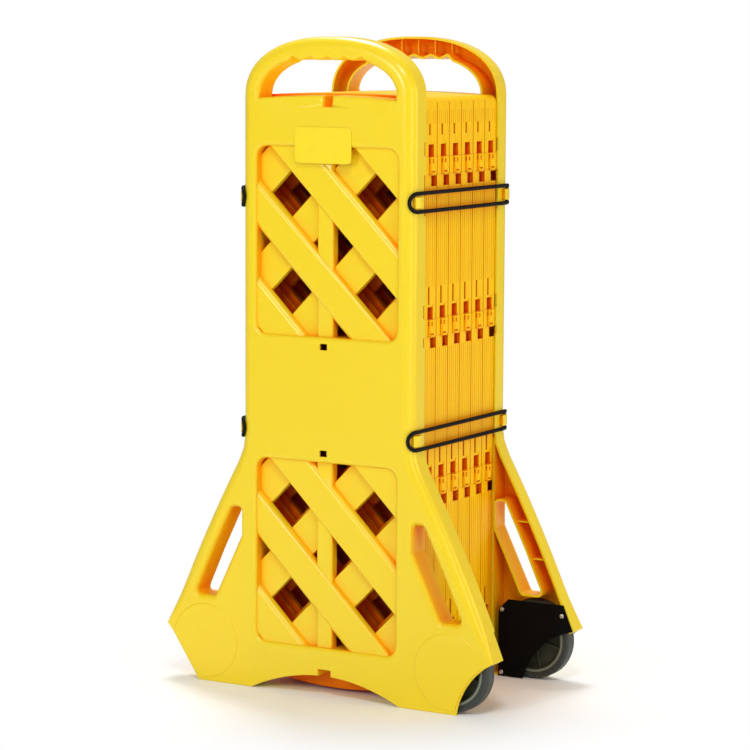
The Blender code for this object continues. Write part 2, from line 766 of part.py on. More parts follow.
def end_shell():
    """One end panel in its own frame, without its hinge side."""
    shell = shell_skin()
    for piece in shell_lattice():
        combine(shell, piece, "UNION")
    combine(shell, joined("ribs", shell_ribs()), "UNION")
    tabs = [tab_block(level) for level in (LOOP_UPPER, LOOP_LOWER)]
    tabs += [mirror_x(tab) for tab in tabs]
    combine(shell, joined("tabs", tabs), "UNION")
    room = cylinder("wheel_room", (WHEEL_X, WHEEL_Z), WHEEL_RADIUS + WHEEL_CLEARANCE,
                    WALL - 2 * GAP, SHELL_DEPTH + OVERRUN, ROOM_SIDES)
    combine(shell, room, "DIFFERENCE")
    seat = box("cover_seat", HALF_BODY + OVERRUN, HALF_BASE + OVERRUN, COVER_FRONT - GAP,
               SHELL_DEPTH + OVERRUN, -OVERRUN, COVER_TOP + COVER_MARGIN)
    combine(shell, seat, "DIFFERENCE")
    root = WALL * BOSS_ROOT_SHARE
    bosses = [cylinder("boss", place, BOSS_RADIUS, root, COVER_FRONT - GAP, SCREW_SIDES)
              for place in screw_places()]
    bosses.append(cylinder("axle_boss", (WHEEL_X, WHEEL_Z), WASHER_RADIUS, root,
                           WHEEL_FRONT - RUNNING_GAP - WASHER_THICKNESS - GAP, AXLE_SIDES))
    combine(shell, joined("bosses", bosses), "UNION")
    holes = [cylinder("screw_hole", place, SCREW_RADIUS + SCREW_CLEARANCE, COVER_FRONT - SCREW_LENGTH,
                      COVER_FRONT + OVERRUN, SCREW_SIDES) for place in screw_places()]
    holes.append(cylinder("axle_hole", (WHEEL_X, WHEEL_Z), AXLE_RADIUS + GAP, WALL, WHEEL_FRONT, AXLE_SIDES))
    low = WINDOW_CENTRES[0] + WINDOW_HEIGHT / 2 + SQUARE_HOLE_INSET
    high = WINDOW_CENTRES[1] - WINDOW_HEIGHT / 2 - SQUARE_HOLE_INSET
    half, tall = SQUARE_HOLE_WIDTH / 2, SQUARE_HOLE_HEIGHT / 2
    for z in (low, high):
        holes.append(box("square_hole", SQUARE_HOLE_OFFSET - half, SQUARE_HOLE_OFFSET + half, -OVERRUN,
                         WALL + OVERRUN, z - tall, z + tall))
    combine(shell, joined("holes", holes), "DIFFERENCE")
    return shell


def hinged_shell(shell, knuckled):
    """The end panel with knuckles down its left side, or with the pockets that take them."""
    boundary = SHELL_DEPTH + GAP / 2
    if knuckled:
        tools = [knuckle(-1, boundary, level) for level in HINGE_LEVELS]
    else:
        tools = [knuckle_room(-1, boundary, level, -1) for level in HINGE_LEVELS]
    result = add_object("shell", shell.data.copy())
    return combine(result, joined("hinge", tools), "UNION" if knuckled else "DIFFERENCE")


# Inner panels

def panel_outline():
    """The outer edge of an inner panel, with a crowned top and a bowed bottom."""
    half = HINGE_X
    bottom, top = [], []
    for n in range(PANEL_END_STEPS + 1):
        share = 2 * n / PANEL_END_STEPS - 1
        x = share * (half - PANEL_CORNER)
        bottom.append((x, PANEL_BOTTOM + PANEL_BOTTOM_RISE * share ** 2))
        top.append((-x, PANEL_TOP - PANEL_TOP_RISE * share ** 2))
    low = PANEL_BOTTOM + PANEL_BOTTOM_RISE + PANEL_CORNER
    high = PANEL_TOP - PANEL_TOP_RISE - PANEL_CORNER
    return bottom + [(half, low), (half, high)] + top + [(-half, high), (-half, low)]


def panel_blank():
    """An inner panel without hinges: slats that lean one way in front and the other way behind."""
    half = PANEL_THICKNESS / 2
    panel = slab("panel", [panel_outline()], 0, PANEL_THICKNESS)
    for lean, front, back in ((1, -OVERRUN, half + GAP), (-1, half - GAP, PANEL_THICKNESS + OVERRUN)):
        strips = []
        for centre in WINDOW_CENTRES:
            strips += lattice_strips(lean, centre, window(centre, steps=1), True)
        combine(panel, slab("gaps", strips, front, back), "DIFFERENCE")
    return panel


def hinged_panel(near_side):
    """An inner panel: knuckles in front on the side where it hangs, pockets behind on the other."""
    panel = panel_blank()
    knuckles = [knuckle(near_side, -GAP / 2, level) for level in HINGE_LEVELS]
    rooms = [knuckle_room(-near_side, PANEL_THICKNESS + GAP / 2, level, -1) for level in HINGE_LEVELS]
    combine(panel, joined("knuckles", knuckles), "UNION")
    combine(panel, joined("rooms", rooms), "DIFFERENCE")
    return panel


# Wheels and their covers, in the end panel's frame

def tyre_solid():
    """The tyre, rounded at its tread."""
    inner = WHEEL_RADIUS - TYRE_THICKNESS
    side = WHEEL_RADIUS - TYRE_ROUND
    shoulder = TYRE_ROUND * (1 - 1 / sqrt(2))
    profile = [(inner, 0), (side, 0), (WHEEL_RADIUS - shoulder, shoulder), (WHEEL_RADIUS, TYRE_ROUND),
               (WHEEL_RADIUS, WHEEL_WIDTH - TYRE_ROUND), (WHEEL_RADIUS - shoulder, WHEEL_WIDTH - shoulder),
               (side, WHEEL_WIDTH), (inner, WHEEL_WIDTH)]
    return turned("tyre", profile, WHEEL_SEGMENTS, (WHEEL_X, WHEEL_Z), WHEEL_FRONT)


def hub_solid():
    """The wheel's disc, with a rim, a thin web and a bored boss."""
    outer = WHEEL_RADIUS - TYRE_THICKNESS - GAP
    inner = outer - HUB_RIM
    bore = AXLE_RADIUS + RUNNING_GAP
    near, far = ((WHEEL_WIDTH - HUB_WEB) / 2, (WHEEL_WIDTH + HUB_WEB) / 2)
    profile = [(outer, 0), (outer, WHEEL_WIDTH), (inner, WHEEL_WIDTH), (inner, far), (HUB_BOSS_RADIUS, far),
               (HUB_BOSS_RADIUS, WHEEL_WIDTH), (bore, WHEEL_WIDTH), (bore, 0), (HUB_BOSS_RADIUS, 0),
               (HUB_BOSS_RADIUS, near), (inner, near), (inner, 0)]
    return turned("hub", profile, WHEEL_SEGMENTS, (WHEEL_X, WHEEL_Z), WHEEL_FRONT)


def axle_solid():
    """The axle pin, from the boss in the face to the cover."""
    front = WALL + GAP
    return cylinder("axle", (WHEEL_X, WHEEL_Z), AXLE_RADIUS, front, COVER_FRONT - GAP, AXLE_SIDES)


def washer_solid(front):
    """A washer beside the hub."""
    bore = AXLE_RADIUS + GAP
    profile = [(WASHER_RADIUS, 0), (WASHER_RADIUS, WASHER_THICKNESS), (bore, WASHER_THICKNESS), (bore, 0)]
    return turned("washer", profile, AXLE_SIDES, (WHEEL_X, WHEEL_Z), front)


def cover_solid():
    """The flat plate over the wheel, scooped like the leg so that the wheel shows."""
    outline = [(COVER_LEFT, COVER_MARGIN)]
    outline += scoop((COVER_FOOT, COVER_MARGIN), (HALF_BASE - COVER_MARGIN, ARM_TIP))
    outline += [(arm_edge(COVER_TOP) - COVER_MARGIN, COVER_TOP), (COVER_LEFT + COVER_CUT, COVER_TOP),
                (COVER_LEFT, COVER_TOP - COVER_CUT)]
    cover = slab("cover", [outline], COVER_FRONT, COVER_BACK)
    holes = [cylinder("hole", place, SCREW_RADIUS + SCREW_CLEARANCE, COVER_FRONT - OVERRUN,
                      COVER_BACK + OVERRUN, SCREW_SIDES) for place in screw_places()]
    return combine(cover, joined("holes", holes), "DIFFERENCE")


def screw_solid(place):
    """One of the cover's screws: a low round head on a plain shank."""
    head_back = COVER_BACK + GAP + SCREW_HEAD_HEIGHT
    tip = COVER_FRONT - SCREW_LENGTH + OVERRUN
    profile = [(0, tip), (SCREW_RADIUS, tip), (SCREW_RADIUS, COVER_BACK + GAP),
               (SCREW_HEAD_RADIUS, COVER_BACK + GAP), (SCREW_HEAD_RADIUS, head_back - SCREW_HEAD_HEIGHT / 2),
               (SCREW_HEAD_RADIUS * SCREW_DOME_SHARE, head_back), (0, head_back)]
    return turned("screw", profile, SCREW_SIDES, place, 0)


# Elastic loops

def loop_tube(level):
    """An elastic loop along the right side of the folded stack, hooked over a tab at each end."""
    radius = ROUND_BODY + CORD_RADIUS + GAP
    side = HALF_BODY + CORD_RADIUS + GAP
    reach = radians(LOOP_REACH_DEGREES)
    corner = Vector((HALF_BODY - ROUND_BODY, -DEPTH / 2 + ROUND_BODY))
    bend = radius * reach

    def on_body(distance):
        if distance < bend:
            a = distance / radius - reach
            return (corner.x + radius * cos(a), corner.y + radius * sin(a))
        return (side, corner.y + distance - bend)

    middle = bend - corner.y
    places = []
    for n in range(LOOP_END_STEPS + 1):
        a = pi / 2 + pi * n / LOOP_END_STEPS
        places.append((LOOP_HALF_HEIGHT * (1 + cos(a)), LOOP_HALF_HEIGHT * sin(a)))
    lower = [(bend * LOOP_STRAIGHT_SHARE, -LOOP_HALF_HEIGHT), (bend, -LOOP_HALF_HEIGHT)]
    first_half = list(reversed([(d, -h) for d, h in lower])) + places + lower
    far_half = [(2 * middle - d, -h) for d, h in first_half]
    curve = bpy.data.curves.new("loop", "CURVE")
    curve.dimensions = "3D"
    curve.bevel_depth = CORD_RADIUS
    curve.bevel_resolution = 1
    spline = curve.splines.new("POLY")
    path = first_half + far_half
    spline.points.add(len(path) - 1)
    for point, (distance, height) in zip(spline.points, path):
        if distance <= middle:
            x, y = on_body(distance)
        else:
            x, y = on_body(2 * middle - distance)
            y = -y
        point.co = (x, y, level + height, 1)
    spline.use_cyclic_u = True
    tube = add_object("loop", curve)
    bpy.context.view_layer.update()
    mesh = bpy.data.meshes.new_from_object(tube.evaluated_get(bpy.context.evaluated_depsgraph_get()))
    bpy.data.objects.remove(tube)
    bm = bmesh.new()
    bm.from_mesh(mesh)
    bmesh.ops.remove_doubles(bm, verts=bm.verts, dist=WELD)
    bm.to_mesh(mesh)
    bm.free()
    return face_outward(add_object("loop", mesh))


def name_plate():
    """The blank raised plate on an end panel."""
    half, tall = PLATE_WIDTH / 2, PLATE_HEIGHT / 2
    corners = rectangle(PLATE_OFFSET - half, PLATE_OFFSET + half, PLATE_CENTRE - tall, PLATE_CENTRE + tall)
    return slab("plate", [rounded(corners, PLATE_RADIUS, ROUND_STEPS + 1)], -GAP - PLATE_THICKNESS, -GAP)


# Assembly

def to_end(obj, rear):
    """Move a solid from the end panel's frame to the front or the rear of the barrier."""
    if rear:
        copy = flipped(obj, obj.name)
        copy.data.transform(Matrix.Translation((0, DEPTH / 2, 0)))
        return copy
    mesh = obj.data.copy()
    mesh.transform(Matrix.Translation((0, -DEPTH / 2, 0)))
    return add_object(obj.name, mesh)


yellow_shell = plain("yellow_shell", YELLOW)
yellow_panel = plain("yellow_panel", YELLOW_INNER)
plate_yellow = plain("plate_yellow", YELLOW_PLATE)
cord_black = plain("cord_black", BLACK_ELASTIC)
tyre_grey = plain("tyre_grey", GREY_RUBBER)
hub_black = plain("hub_black", BLACK_HUB)
cover_black = plain("cover_black", BLACK_COVER)
steel = plain("steel", STEEL)

outer_washer = WHEEL_FRONT - RUNNING_GAP - WASHER_THICKNESS
inner_washer = WHEEL_FRONT + WHEEL_WIDTH + RUNNING_GAP
plain_shell = end_shell()
shells = [hinged_shell(plain_shell, knuckled) for knuckled in (False, True)]
bpy.data.objects.remove(plain_shell)
fixed_kinds = [(cover_solid(), "wheel_cover", cover_black),
               (name_plate(), "name_plate", plate_yellow),
               (axle_solid(), "axle", steel),
               (washer_solid(outer_washer), "outer_washer", steel),
               (washer_solid(inner_washer), "inner_washer", steel)]
for number, place in enumerate(screw_places(), 1):
    fixed_kinds.append((screw_solid(place), "cover_screw_%d" % number, steel))
wheel_kinds = [(tyre_solid(), "wheel_tyre", tyre_grey), (hub_solid(), "wheel_hub", hub_black)]
for end, sign, shell in zip(("front", "rear"), (-1, 1), shells):
    hinge = pivot(end + "_end", (-HINGE_X, sign * (DEPTH / 2 - SHELL_DEPTH - GAP / 2), 0))
    middle = sign * (DEPTH / 2 - WHEEL_FRONT - WHEEL_WIDTH / 2)
    axis = pivot("wheel_axis_" + end, (WHEEL_X, middle, WHEEL_Z))
    finish(to_end(shell, sign > 0), "shell_" + end, yellow_shell, parent=hinge)
    bpy.data.objects.remove(shell)
    for solid, name, material in fixed_kinds:
        finish(to_end(solid, sign > 0), name + "_" + end, material, parent=hinge)
    for solid, name, material in wheel_kinds:
        finish(to_end(solid, sign > 0), name + "_" + end, material, parent=axis)
for solid, _, _ in fixed_kinds + wheel_kinds:
    bpy.data.objects.remove(solid)

patterns = [hinged_panel(side) for side in (1, -1)]
for number in range(1, PANEL_COUNT + 1):
    odd = number % 2
    front = -DEPTH / 2 + SHELL_DEPTH + GAP + (number - 1) * PITCH
    panel = add_object("panel", patterns[odd].data.copy())
    panel.data.transform(Matrix.Translation((0, front, 0)))
    axis = (-HINGE_X if odd else HINGE_X, front - GAP / 2, 0)
    finish(panel, "inner_panel_%02d" % number, yellow_panel, origin=axis)
for pattern in patterns:
    bpy.data.objects.remove(pattern)

for height, level in (("upper", LOOP_UPPER), ("lower", LOOP_LOWER)):
    right = loop_tube(level)
    left = mirror_x(right)
    finish(right, "elastic_loop_%s_right" % height, cord_black, smooth=CORD_SMOOTH_DEGREES)
    finish(left, "elastic_loop_%s_left" % height, cord_black, smooth=CORD_SMOOTH_DEGREES)
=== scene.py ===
"""Looks of the folded expandable safety barrier: yellow moulded panels, elastic loops and rubber wheels."""
from math import atan2, cos, degrees, pi, radians, sin, sqrt

import bmesh
import bpy
from mathutils import Matrix, Vector


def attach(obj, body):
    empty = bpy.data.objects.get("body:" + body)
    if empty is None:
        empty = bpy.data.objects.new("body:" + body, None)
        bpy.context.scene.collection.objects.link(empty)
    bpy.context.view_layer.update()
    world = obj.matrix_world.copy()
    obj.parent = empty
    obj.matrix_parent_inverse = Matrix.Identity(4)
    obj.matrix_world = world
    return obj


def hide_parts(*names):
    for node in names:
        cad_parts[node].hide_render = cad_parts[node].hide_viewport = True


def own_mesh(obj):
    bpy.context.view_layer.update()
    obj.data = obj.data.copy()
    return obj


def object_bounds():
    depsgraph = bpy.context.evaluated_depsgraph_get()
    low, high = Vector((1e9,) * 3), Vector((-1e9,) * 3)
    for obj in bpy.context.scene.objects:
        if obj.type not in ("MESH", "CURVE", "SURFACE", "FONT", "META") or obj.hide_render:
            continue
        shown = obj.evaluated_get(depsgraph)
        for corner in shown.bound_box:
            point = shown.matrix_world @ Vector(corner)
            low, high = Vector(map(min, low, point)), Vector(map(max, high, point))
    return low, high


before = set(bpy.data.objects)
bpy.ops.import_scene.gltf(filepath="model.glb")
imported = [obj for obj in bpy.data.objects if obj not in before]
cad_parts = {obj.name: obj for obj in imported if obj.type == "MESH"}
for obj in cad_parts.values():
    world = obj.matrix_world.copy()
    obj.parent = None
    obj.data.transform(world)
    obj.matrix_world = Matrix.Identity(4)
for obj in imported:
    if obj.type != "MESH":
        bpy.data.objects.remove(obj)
cad_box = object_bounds()

# Driving sizes, in metres; X runs to the side with the wheels, Y from the front to the rear, Z up
HALF_BASE = cad_box[1].x
HEIGHT = cad_box[1].z
HALF_BODY = 0.150
SHELL_DEPTH = 0.040
WALL = 0.0035
PANEL_COUNT = 12
PANEL_THICKNESS = 0.0185
GAP = 0.0003
WELD = 0.000003
OVERRUN = 0.002
DEPTH = 2 * SHELL_DEPTH + PANEL_COUNT * (PANEL_THICKNESS + GAP) + GAP

# Steps along curves, and angles in degrees
HANDLE_STEPS = 56
ARM_STEPS = 14
ARCH_STEPS = 16
SCOOP_STEPS = 16
ROUND_STEPS = 7
CORNER_STEPS = 7
PANEL_END_STEPS = 16
BEVEL_STEPS = 4
BUMP_STEPS = 12
PLATE_STEPS = 3
POD_STEPS = 4
TAB_STEPS = 6
PANEL_CORNER_STEPS = 5
TYRE_STEPS = 6
SCREW_STEPS = 6
LOOP_STEPS = 16
CORD_STEPS = 5
BOX_EDGE_STEPS = 2
FLAT_DEGREES = 0.5
PLANAR_DEGREES = 0.1
SMOOTH_DEGREES = 38
CORD_SMOOTH_DEGREES = 60
SHARP_DEGREES = 60

# Handle
HANDLE_HEIGHT = 0.092
HANDLE_LEG = 0.031
GRIP_BAND = 0.030
GRIP_PITCH = 0.030
GRIP_BUMP = 0.005
GRIP_BUMPS = 4
BUMP_SHARPNESS = 1.5
HANDLE_ROUNDNESS = 2.3
DECK_CROWN = 0.005
DECK_NOTCH_WIDTH = 0.0165
DECK_NOTCH_DEPTH = 0.0125
DECK_NOTCH_OFFSET = 0.0018
DECK = HEIGHT - HANDLE_HEIGHT
DECK_DIP = 0.0022
DECK_DIP_REACH = 0.050
DECK_DIP_WIDTH = 0.060
DECK_DIP_MARGIN = 0.002
DECK_DIP_ROWS = 9
DECK_DIP_COLUMNS = 6
DECK_SHARES = (0.95, 0.8, 0.6, 0.4, 0.2)

# Windows and lattice
WINDOW_MARGIN = 0.027
WINDOW_HEIGHT = 0.285
WINDOW_SILL = 0.075
WINDOW_SPACING = 0.476
WINDOW_RADIUS = 0.020
WINDOW_FLARE = 0.006
LATTICE_PITCH = 0.0740
LATTICE_SHIFT = 0.0068
LATTICE_DROP = 0.0017
LATTICE_SLATS = 4
SLAT_WIDTH = 0.0537
SLAT_ROUND = 0.0105
SLAT_LOWER_SHARE = 0.35
SLAT_LIP = 0.0022
SLAT_FRONT = 0.0045
SLAT_MIDDLE = 0.0145
SLAT_BACK = 0.0240
SLAT_SEAT = 0.0015
SLANT_TOLERANCE = 0.3
POST_WIDTH = 0.0277
POST_OFFSET = -0.0048
POST_FRONT = 0.0072
POST_BACK = 0.0222
POST_ROUND = 0.004

# Legs, feet and hand slots
ARM_TOP = 0.372
ARM_TIP = 0.084
ARM_BULGE = 0.006
ARM_EASE = 0.022
FOOT_STEP = 0.0125
FOOT_REACH = 0.229
ARCH_HALF_WIDTH = 0.132
ARCH_RISE = 0.032
ARCH_NOTCH_WIDTH = 0.022
ARCH_NOTCH_DEPTH = 0.010
BITE_RADIUS = 0.117
SLOT_RIM = 0.031
SLOT_TOP = 0.279
SLOT_KNEE = 0.236
SLOT_BOTTOM = 0.136
SLOT_WIDTH = 0.036
SLOT_RADIUS = 0.008
SLOT_OFFSET = 0.002
SLOT_FLARE = 0.009
POD_RADIUS = 0.0585
POD_HEIGHT = 0.0009
POD_RIM = 0.003

# Edge rounding of the shells
ROUND_BODY = 0.018
ROUND_TIP = 0.004
ROUND_BASE = 0.0015
ROUND_GRIP = 0.009
ROUND_BUMP = 0.0035
ROUND_DECK = 0.005

# Inner panels and their hinges
HINGE_X = 0.147
PANEL_TOP = 0.916
PANEL_TOP_RISE = 0.004
PANEL_BOTTOM = 0.006
PANEL_BOTTOM_RISE = 0.016
PANEL_CORNER = 0.012
PANEL_ROUND = 0.0006
HINGE_LEVELS = [0.085 + n * 0.242 for n in range(4)]
HINGE_FRONT = -GAP / 2
HINGE_BACK = PANEL_THICKNESS + GAP / 2
KNUCKLE_RADIUS = 0.0065
KNUCKLE_LENGTH = 0.025
KNUCKLE_CLEARANCE = 0.0006
KNUCKLE_EDGE = 0.0009
KNUCKLE_SIDES = 32
KNUCKLE_SLOT_DEGREES = (-24, -78)
KNUCKLE_SLOT_REACH = 0.0013
KNUCKLE_SLOT_LOW = 0.0035
KNUCKLE_SLOT_HIGH = 0.0098
MOUTH_START = 0.0035
MOUTH_BACK = 0.0045
MOUTH_LOW = -0.0103
MOUTH_HIGH = -0.0077
RECESS_HEIGHT = 0.018
RECESS_REACH = 0.008
RECESS_DEPTH = 0.012
SLIT_WIDTH = 0.0042
SLIT_OFFSET = 0.0036
SLIT_LOW = 0.035
SLIT_LOW_SHORT = 0.045
SLIT_HIGH = 0.061
SLIT_DEPTH = 0.010
SQUARE_LOW = -0.031
SQUARE_HIGH = -0.015
SQUARE_START = 0.0018
SQUARE_DEPTH = 0.024
LUG_PROUD = 0.0009
LUG_EDGE = 0.0005
BORDER_WIDTH = 0.0032
GROOVE_WIDTH = 0.0008
GROOVE_DEPTH = 0.0004
NEAR_GROOVES = (0.35, 0.68)
FAR_GROOVES = (0.32, 0.65)
SEAM_WIDTH = 0.0008
SEAM_DEPTH = 0.004

# Wheels, axles and their covers
WHEEL_X = 0.216
WHEEL_RADIUS = 0.0625
WHEEL_Z = 0.064
TYRE_THICKNESS = 0.010
WHEEL_WIDTH = 0.024
WHEEL_CLEARANCE = 0.0045
# The hub rim's painted highlight: its band width and its soft edge
HUB_RING = 0.0035
HUB_RING_FADE = 0.0005
TYRE_ROUND = 0.0050
SPOKES = 6
SPOKE_TURN_DEGREES = 15
SPOKE_START = 0.0120
SPOKE_MARGIN = 0.0050
SPOKE_SETBACK = 0.0045
SPOKE_HALF_WIDTH = 0.0016
SPOKE_EDGE = 0.0006
COVER_THICKNESS = 0.003
COVER_RECESS = 0.001
COVER_MARGIN = 0.001
COVER_TOP = 0.124
COVER_CUT = 0.0165
COVER_LEFT = 0.159
COVER_FOOT = 0.202
COVER_EDGE = 0.0008
RIM_SLOT_WIDE = 0.0060
RIM_SLOT_NARROW = 0.0022
RIM_SLOT_LEVELS = ((-0.027, -0.0135), (0.015, 0.035))
RIM_SLOT_LOWEST = -0.074
SCREW_HEAD_RADIUS = 0.0036
SCREW_HEAD_HEIGHT = 0.0018
SCREW_INSET = 0.006
SCREW_EDGE = 0.0095
SCREW_SINK = 0.001
SCREW_FLAT = 0.0005
SCREW_SIDES = 32
CROSS_REACH = 0.0021
CROSS_HALF_WIDTH = 0.00045
CROSS_DEPTH = 0.0009
BOSS_SIDES = 24
BOSS_RADIUS = 0.0042
WHEEL_SEGMENTS = 72
ROOM_SIDES = 64
COVER_BACK = SHELL_DEPTH - COVER_RECESS
COVER_FRONT = COVER_BACK - COVER_THICKNESS
WHEEL_FRONT = (COVER_FRONT + WALL - WHEEL_WIDTH) / 2

# Turned profiles: a distance across the axis, then a depth along it. The tyre's goes outward from the hub and
# the hub's rim inward from the tyre; the hub's boss and the washers go outward from their own axis.
TYRE_PROFILE = [(0, 0.0006), (0.0006, 0), (0.0022, 0), (0.0028, 0.0008), (0.0034, 0.0010), (0.0050, 0.0006)]
HUB_BOSS = [(0.0054, 0), (0.0115, 0), (0.0124, 0.0009), (0.0130, 0.0086), (0.0150, 0.0096)]
HUB_RIM = [(0.0090, 0.0096), (0.0070, 0.0080), (0.0056, 0.0010), (0.0048, 0.0002), (0, 0.0002)]
WASHER_RIM = [(0.0046, -0.0008), (0.0052, -0.0004), (0.0052, 0.0004), (0.0044, 0.0004), (0.0041, -0.0001)]

# Elastic loops and their tabs
CORD_RADIUS = 0.003
LOOP_HALF_HEIGHT = 0.0135
LOOP_LEVELS = {"upper": 0.758, "lower": 0.404}
LOOP_REACH_DEGREES = 56
TAB_HEIGHT = 0.017
TAB_LENGTH = 0.0065
TAB_FIRST_DEGREES = -15
TAB_LAST_DEGREES = 34
TAB_EDGE = 0.0012

# Ribs, the blank plate and the square holes
RIB = 0.0025
RIB_SETBACK = 0.006
RIB_REACH = 0.0615
FOOT_RIB_REACH = 0.100
LEG_RIBS = (0.192, 0.249)
PLATE_WIDTH = 0.099
PLATE_HEIGHT = 0.0543
PLATE_OFFSET = -0.0042
PLATE_THICKNESS = 0.0014
PLATE_CENTRE = 0.8388
PLATE_RADIUS = 0.0095
PLATE_EDGE = 0.0012
SQUARE_HOLE_WIDTH = 0.0126
SQUARE_HOLE_HEIGHT = 0.0097
SQUARE_HOLE_OFFSET = -0.0027
SQUARE_HOLE_INSET = 0.0145

WINDOW_CENTRES = [WINDOW_SILL + WINDOW_HEIGHT / 2 + n * WINDOW_SPACING for n in range(2)]

# Camera, fitted to the photograph
CAMERA_PLACE = (2.2002, -3.7895, 1.0123)
CAMERA_AZIMUTH = 30.157
CAMERA_ELEVATION = 6.940
CAMERA_ROLL = 0.295
CAMERA_FOCAL_PIXELS = 2847.4
IMAGE_PIXELS = 750
SENSOR = 36

# Plastic: how near a wall the painted shade deepens a hollow's colour, how far light glows through, and how
# soft an edge looks
PAINTED_SHADE_REACH = 0.060
GLOW_REACH = 0.009
SOFT_EDGE = 0.0006

# Stage: the floor turns white between two distances, and the surround lights the object
FLOOR_SIZE = 40
FLOOR_ALBEDO = 0.95
WHITE_START = 0.27
WHITE_END = 0.52
SURROUND = 0.36
MIDDLE = (0, 0, 0.5)

WORK = bpy.data.collections.new("work")
bpy.context.scene.collection.children.link(WORK)


# Outlines, as lists of (x, z) points that run anticlockwise seen from the front

def arc(centre, radius, start, end, steps):
    """Points on a circle from one angle to another, in degrees."""
    angles = [radians(start + (end - start) * n / steps) for n in range(steps + 1)]
    return [(centre[0] + radius * cos(a), centre[1] + radius * sin(a)) for a in angles]


def rounded(points, radius):
    """The same outline with each corner turned into an arc."""
    result = []
    for n, corner in enumerate(points):
        before = Vector(points[n - 1]) - Vector(corner)
        after = Vector(points[(n + 1) % len(points)]) - Vector(corner)
        half = before.angle(after) / 2
        reach = min(radius / (sin(half) / cos(half)), before.length / 2, after.length / 2)
        first = Vector(corner) + before.normalized() * reach
        last = Vector(corner) + after.normalized() * reach
        for k in range(CORNER_STEPS + 1):
            t = k / CORNER_STEPS
            point = first * (1 - t) ** 2 + Vector(corner) * (2 * t * (1 - t)) + last * t ** 2
            result.append((point.x, point.y))
    return result


def mitres(outline):
    """The outward step at each point that moves both edges beside it by one metre."""
    steps = []
    for n, point in enumerate(outline):
        before = (Vector(point) - Vector(outline[n - 1])).normalized()
        after = (Vector(outline[(n + 1) % len(outline)]) - Vector(point)).normalized()
        normals = Vector((before.y, -before.x)), Vector((after.y, -after.x))
        steps.append((normals[0] + normals[1]) / (1 + normals[0].dot(normals[1])))
    return steps


def grown(outline, amount):
    """The outline moved outward all round."""
    return [(x + step.x * amount, z + step.y * amount) for (x, z), step in zip(outline, mitres(outline))]


def rectangle(left, right, bottom, top):
    """A plain rectangle."""
    return [(left, bottom), (right, bottom), (right, top), (left, top)]


def mirrored(points):
    """The outline on the other side of the middle, still anticlockwise."""
    return [(-x, z) for x, z in reversed(points)]


def dome(half_width, rise, span, steps):
    """Points on a squarish arch above the deck, from its right end through a span in degrees."""
    power = 2 / HANDLE_ROUNDNESS
    points = []
    for n in range(steps + 1):
        a = radians(span * n / steps)
        side = 1 if cos(a) >= 0 else -1
        points.append((side * half_width * abs(cos(a)) ** power, DECK + rise * abs(sin(a)) ** power))
    return points


def arm_edge(z):
    """How far out the leg's outer edge is at a height."""
    t = (ARM_TOP - z) / (ARM_TOP - ARM_TIP)
    bulge = 1 - (1 - 2 * t) ** 2
    if z < ARM_TOP - ARM_EASE:
        return HALF_BODY + t * (HALF_BASE - HALF_BODY) + ARM_BULGE * bulge
    ease = max(0, (ARM_TOP + ARM_EASE - z) / (2 * ARM_EASE))
    slope = (HALF_BASE - HALF_BODY + 4 * ARM_BULGE) / (ARM_TOP - ARM_TIP)
    return HALF_BODY + slope * ARM_EASE * ease ** 2


def arm_points():
    """The right leg's outer edge from its tip up to the body."""
    levels = [ARM_TIP + (ARM_TOP + ARM_EASE - ARM_TIP) * n / ARM_STEPS for n in range(ARM_STEPS + 1)]
    return [(arm_edge(z), z) for z in levels]


def arch_height(x):
    """The arch under the base."""
    return ARCH_RISE * (1 - (x / ARCH_HALF_WIDTH) ** 2)


def scoop(foot, tip):
    """The arc that shows the wheel, from a point on the foot up to the leg's tip."""
    start, end = Vector(foot), Vector(tip)
    chord = end - start
    height = sqrt(BITE_RADIUS ** 2 - (chord.length / 2) ** 2)
    centre = (start + end) / 2 + Vector((chord.y, -chord.x)).normalized() * height
    first = atan2(start.y - centre.y, start.x - centre.x)
    last = atan2(end.y - centre.y, end.x - centre.x)
    return arc(centre, BITE_RADIUS, degrees(first), degrees(last), SCOOP_STEPS)


def shell_outline():
    """The whole outer edge of an end panel."""
    notch = ARCH_NOTCH_WIDTH / 2
    notch_top = arch_height(notch) + ARCH_NOTCH_DEPTH
    step = (ARCH_HALF_WIDTH - notch) / ARCH_STEPS
    places = [-ARCH_HALF_WIDTH + n * step for n in range(ARCH_STEPS + 1)]
    left_arch = [(x, arch_height(x)) for x in places]
    left_foot = [(-HALF_BASE + FOOT_STEP, ARM_TIP - FOOT_STEP), (-FOOT_REACH, 0)]
    handle = dome(HALF_BODY, HANDLE_HEIGHT, 180, HANDLE_STEPS)
    wheel_scoop = scoop((FOOT_REACH, 0), (HALF_BASE, ARM_TIP))[:-1]
    return (left_foot + left_arch + [(-notch, notch_top), (notch, notch_top)] + mirrored(left_arch)
            + wheel_scoop + arm_points() + handle + mirrored(arm_points()))


def deck_height(x):
    """The crowned floor of the handle's opening."""
    return DECK + DECK_CROWN * (1 - (x / (HALF_BODY - HANDLE_LEG)) ** 2)


def finger_wave(x):
    """How far the finger bumps reach down from the grip's underside."""
    row = GRIP_BUMPS * GRIP_PITCH / 2
    if abs(x) >= row:
        return 0
    wave = abs(sin(pi * (x + row) / GRIP_PITCH))
    return GRIP_BUMP * wave ** BUMP_SHARPNESS


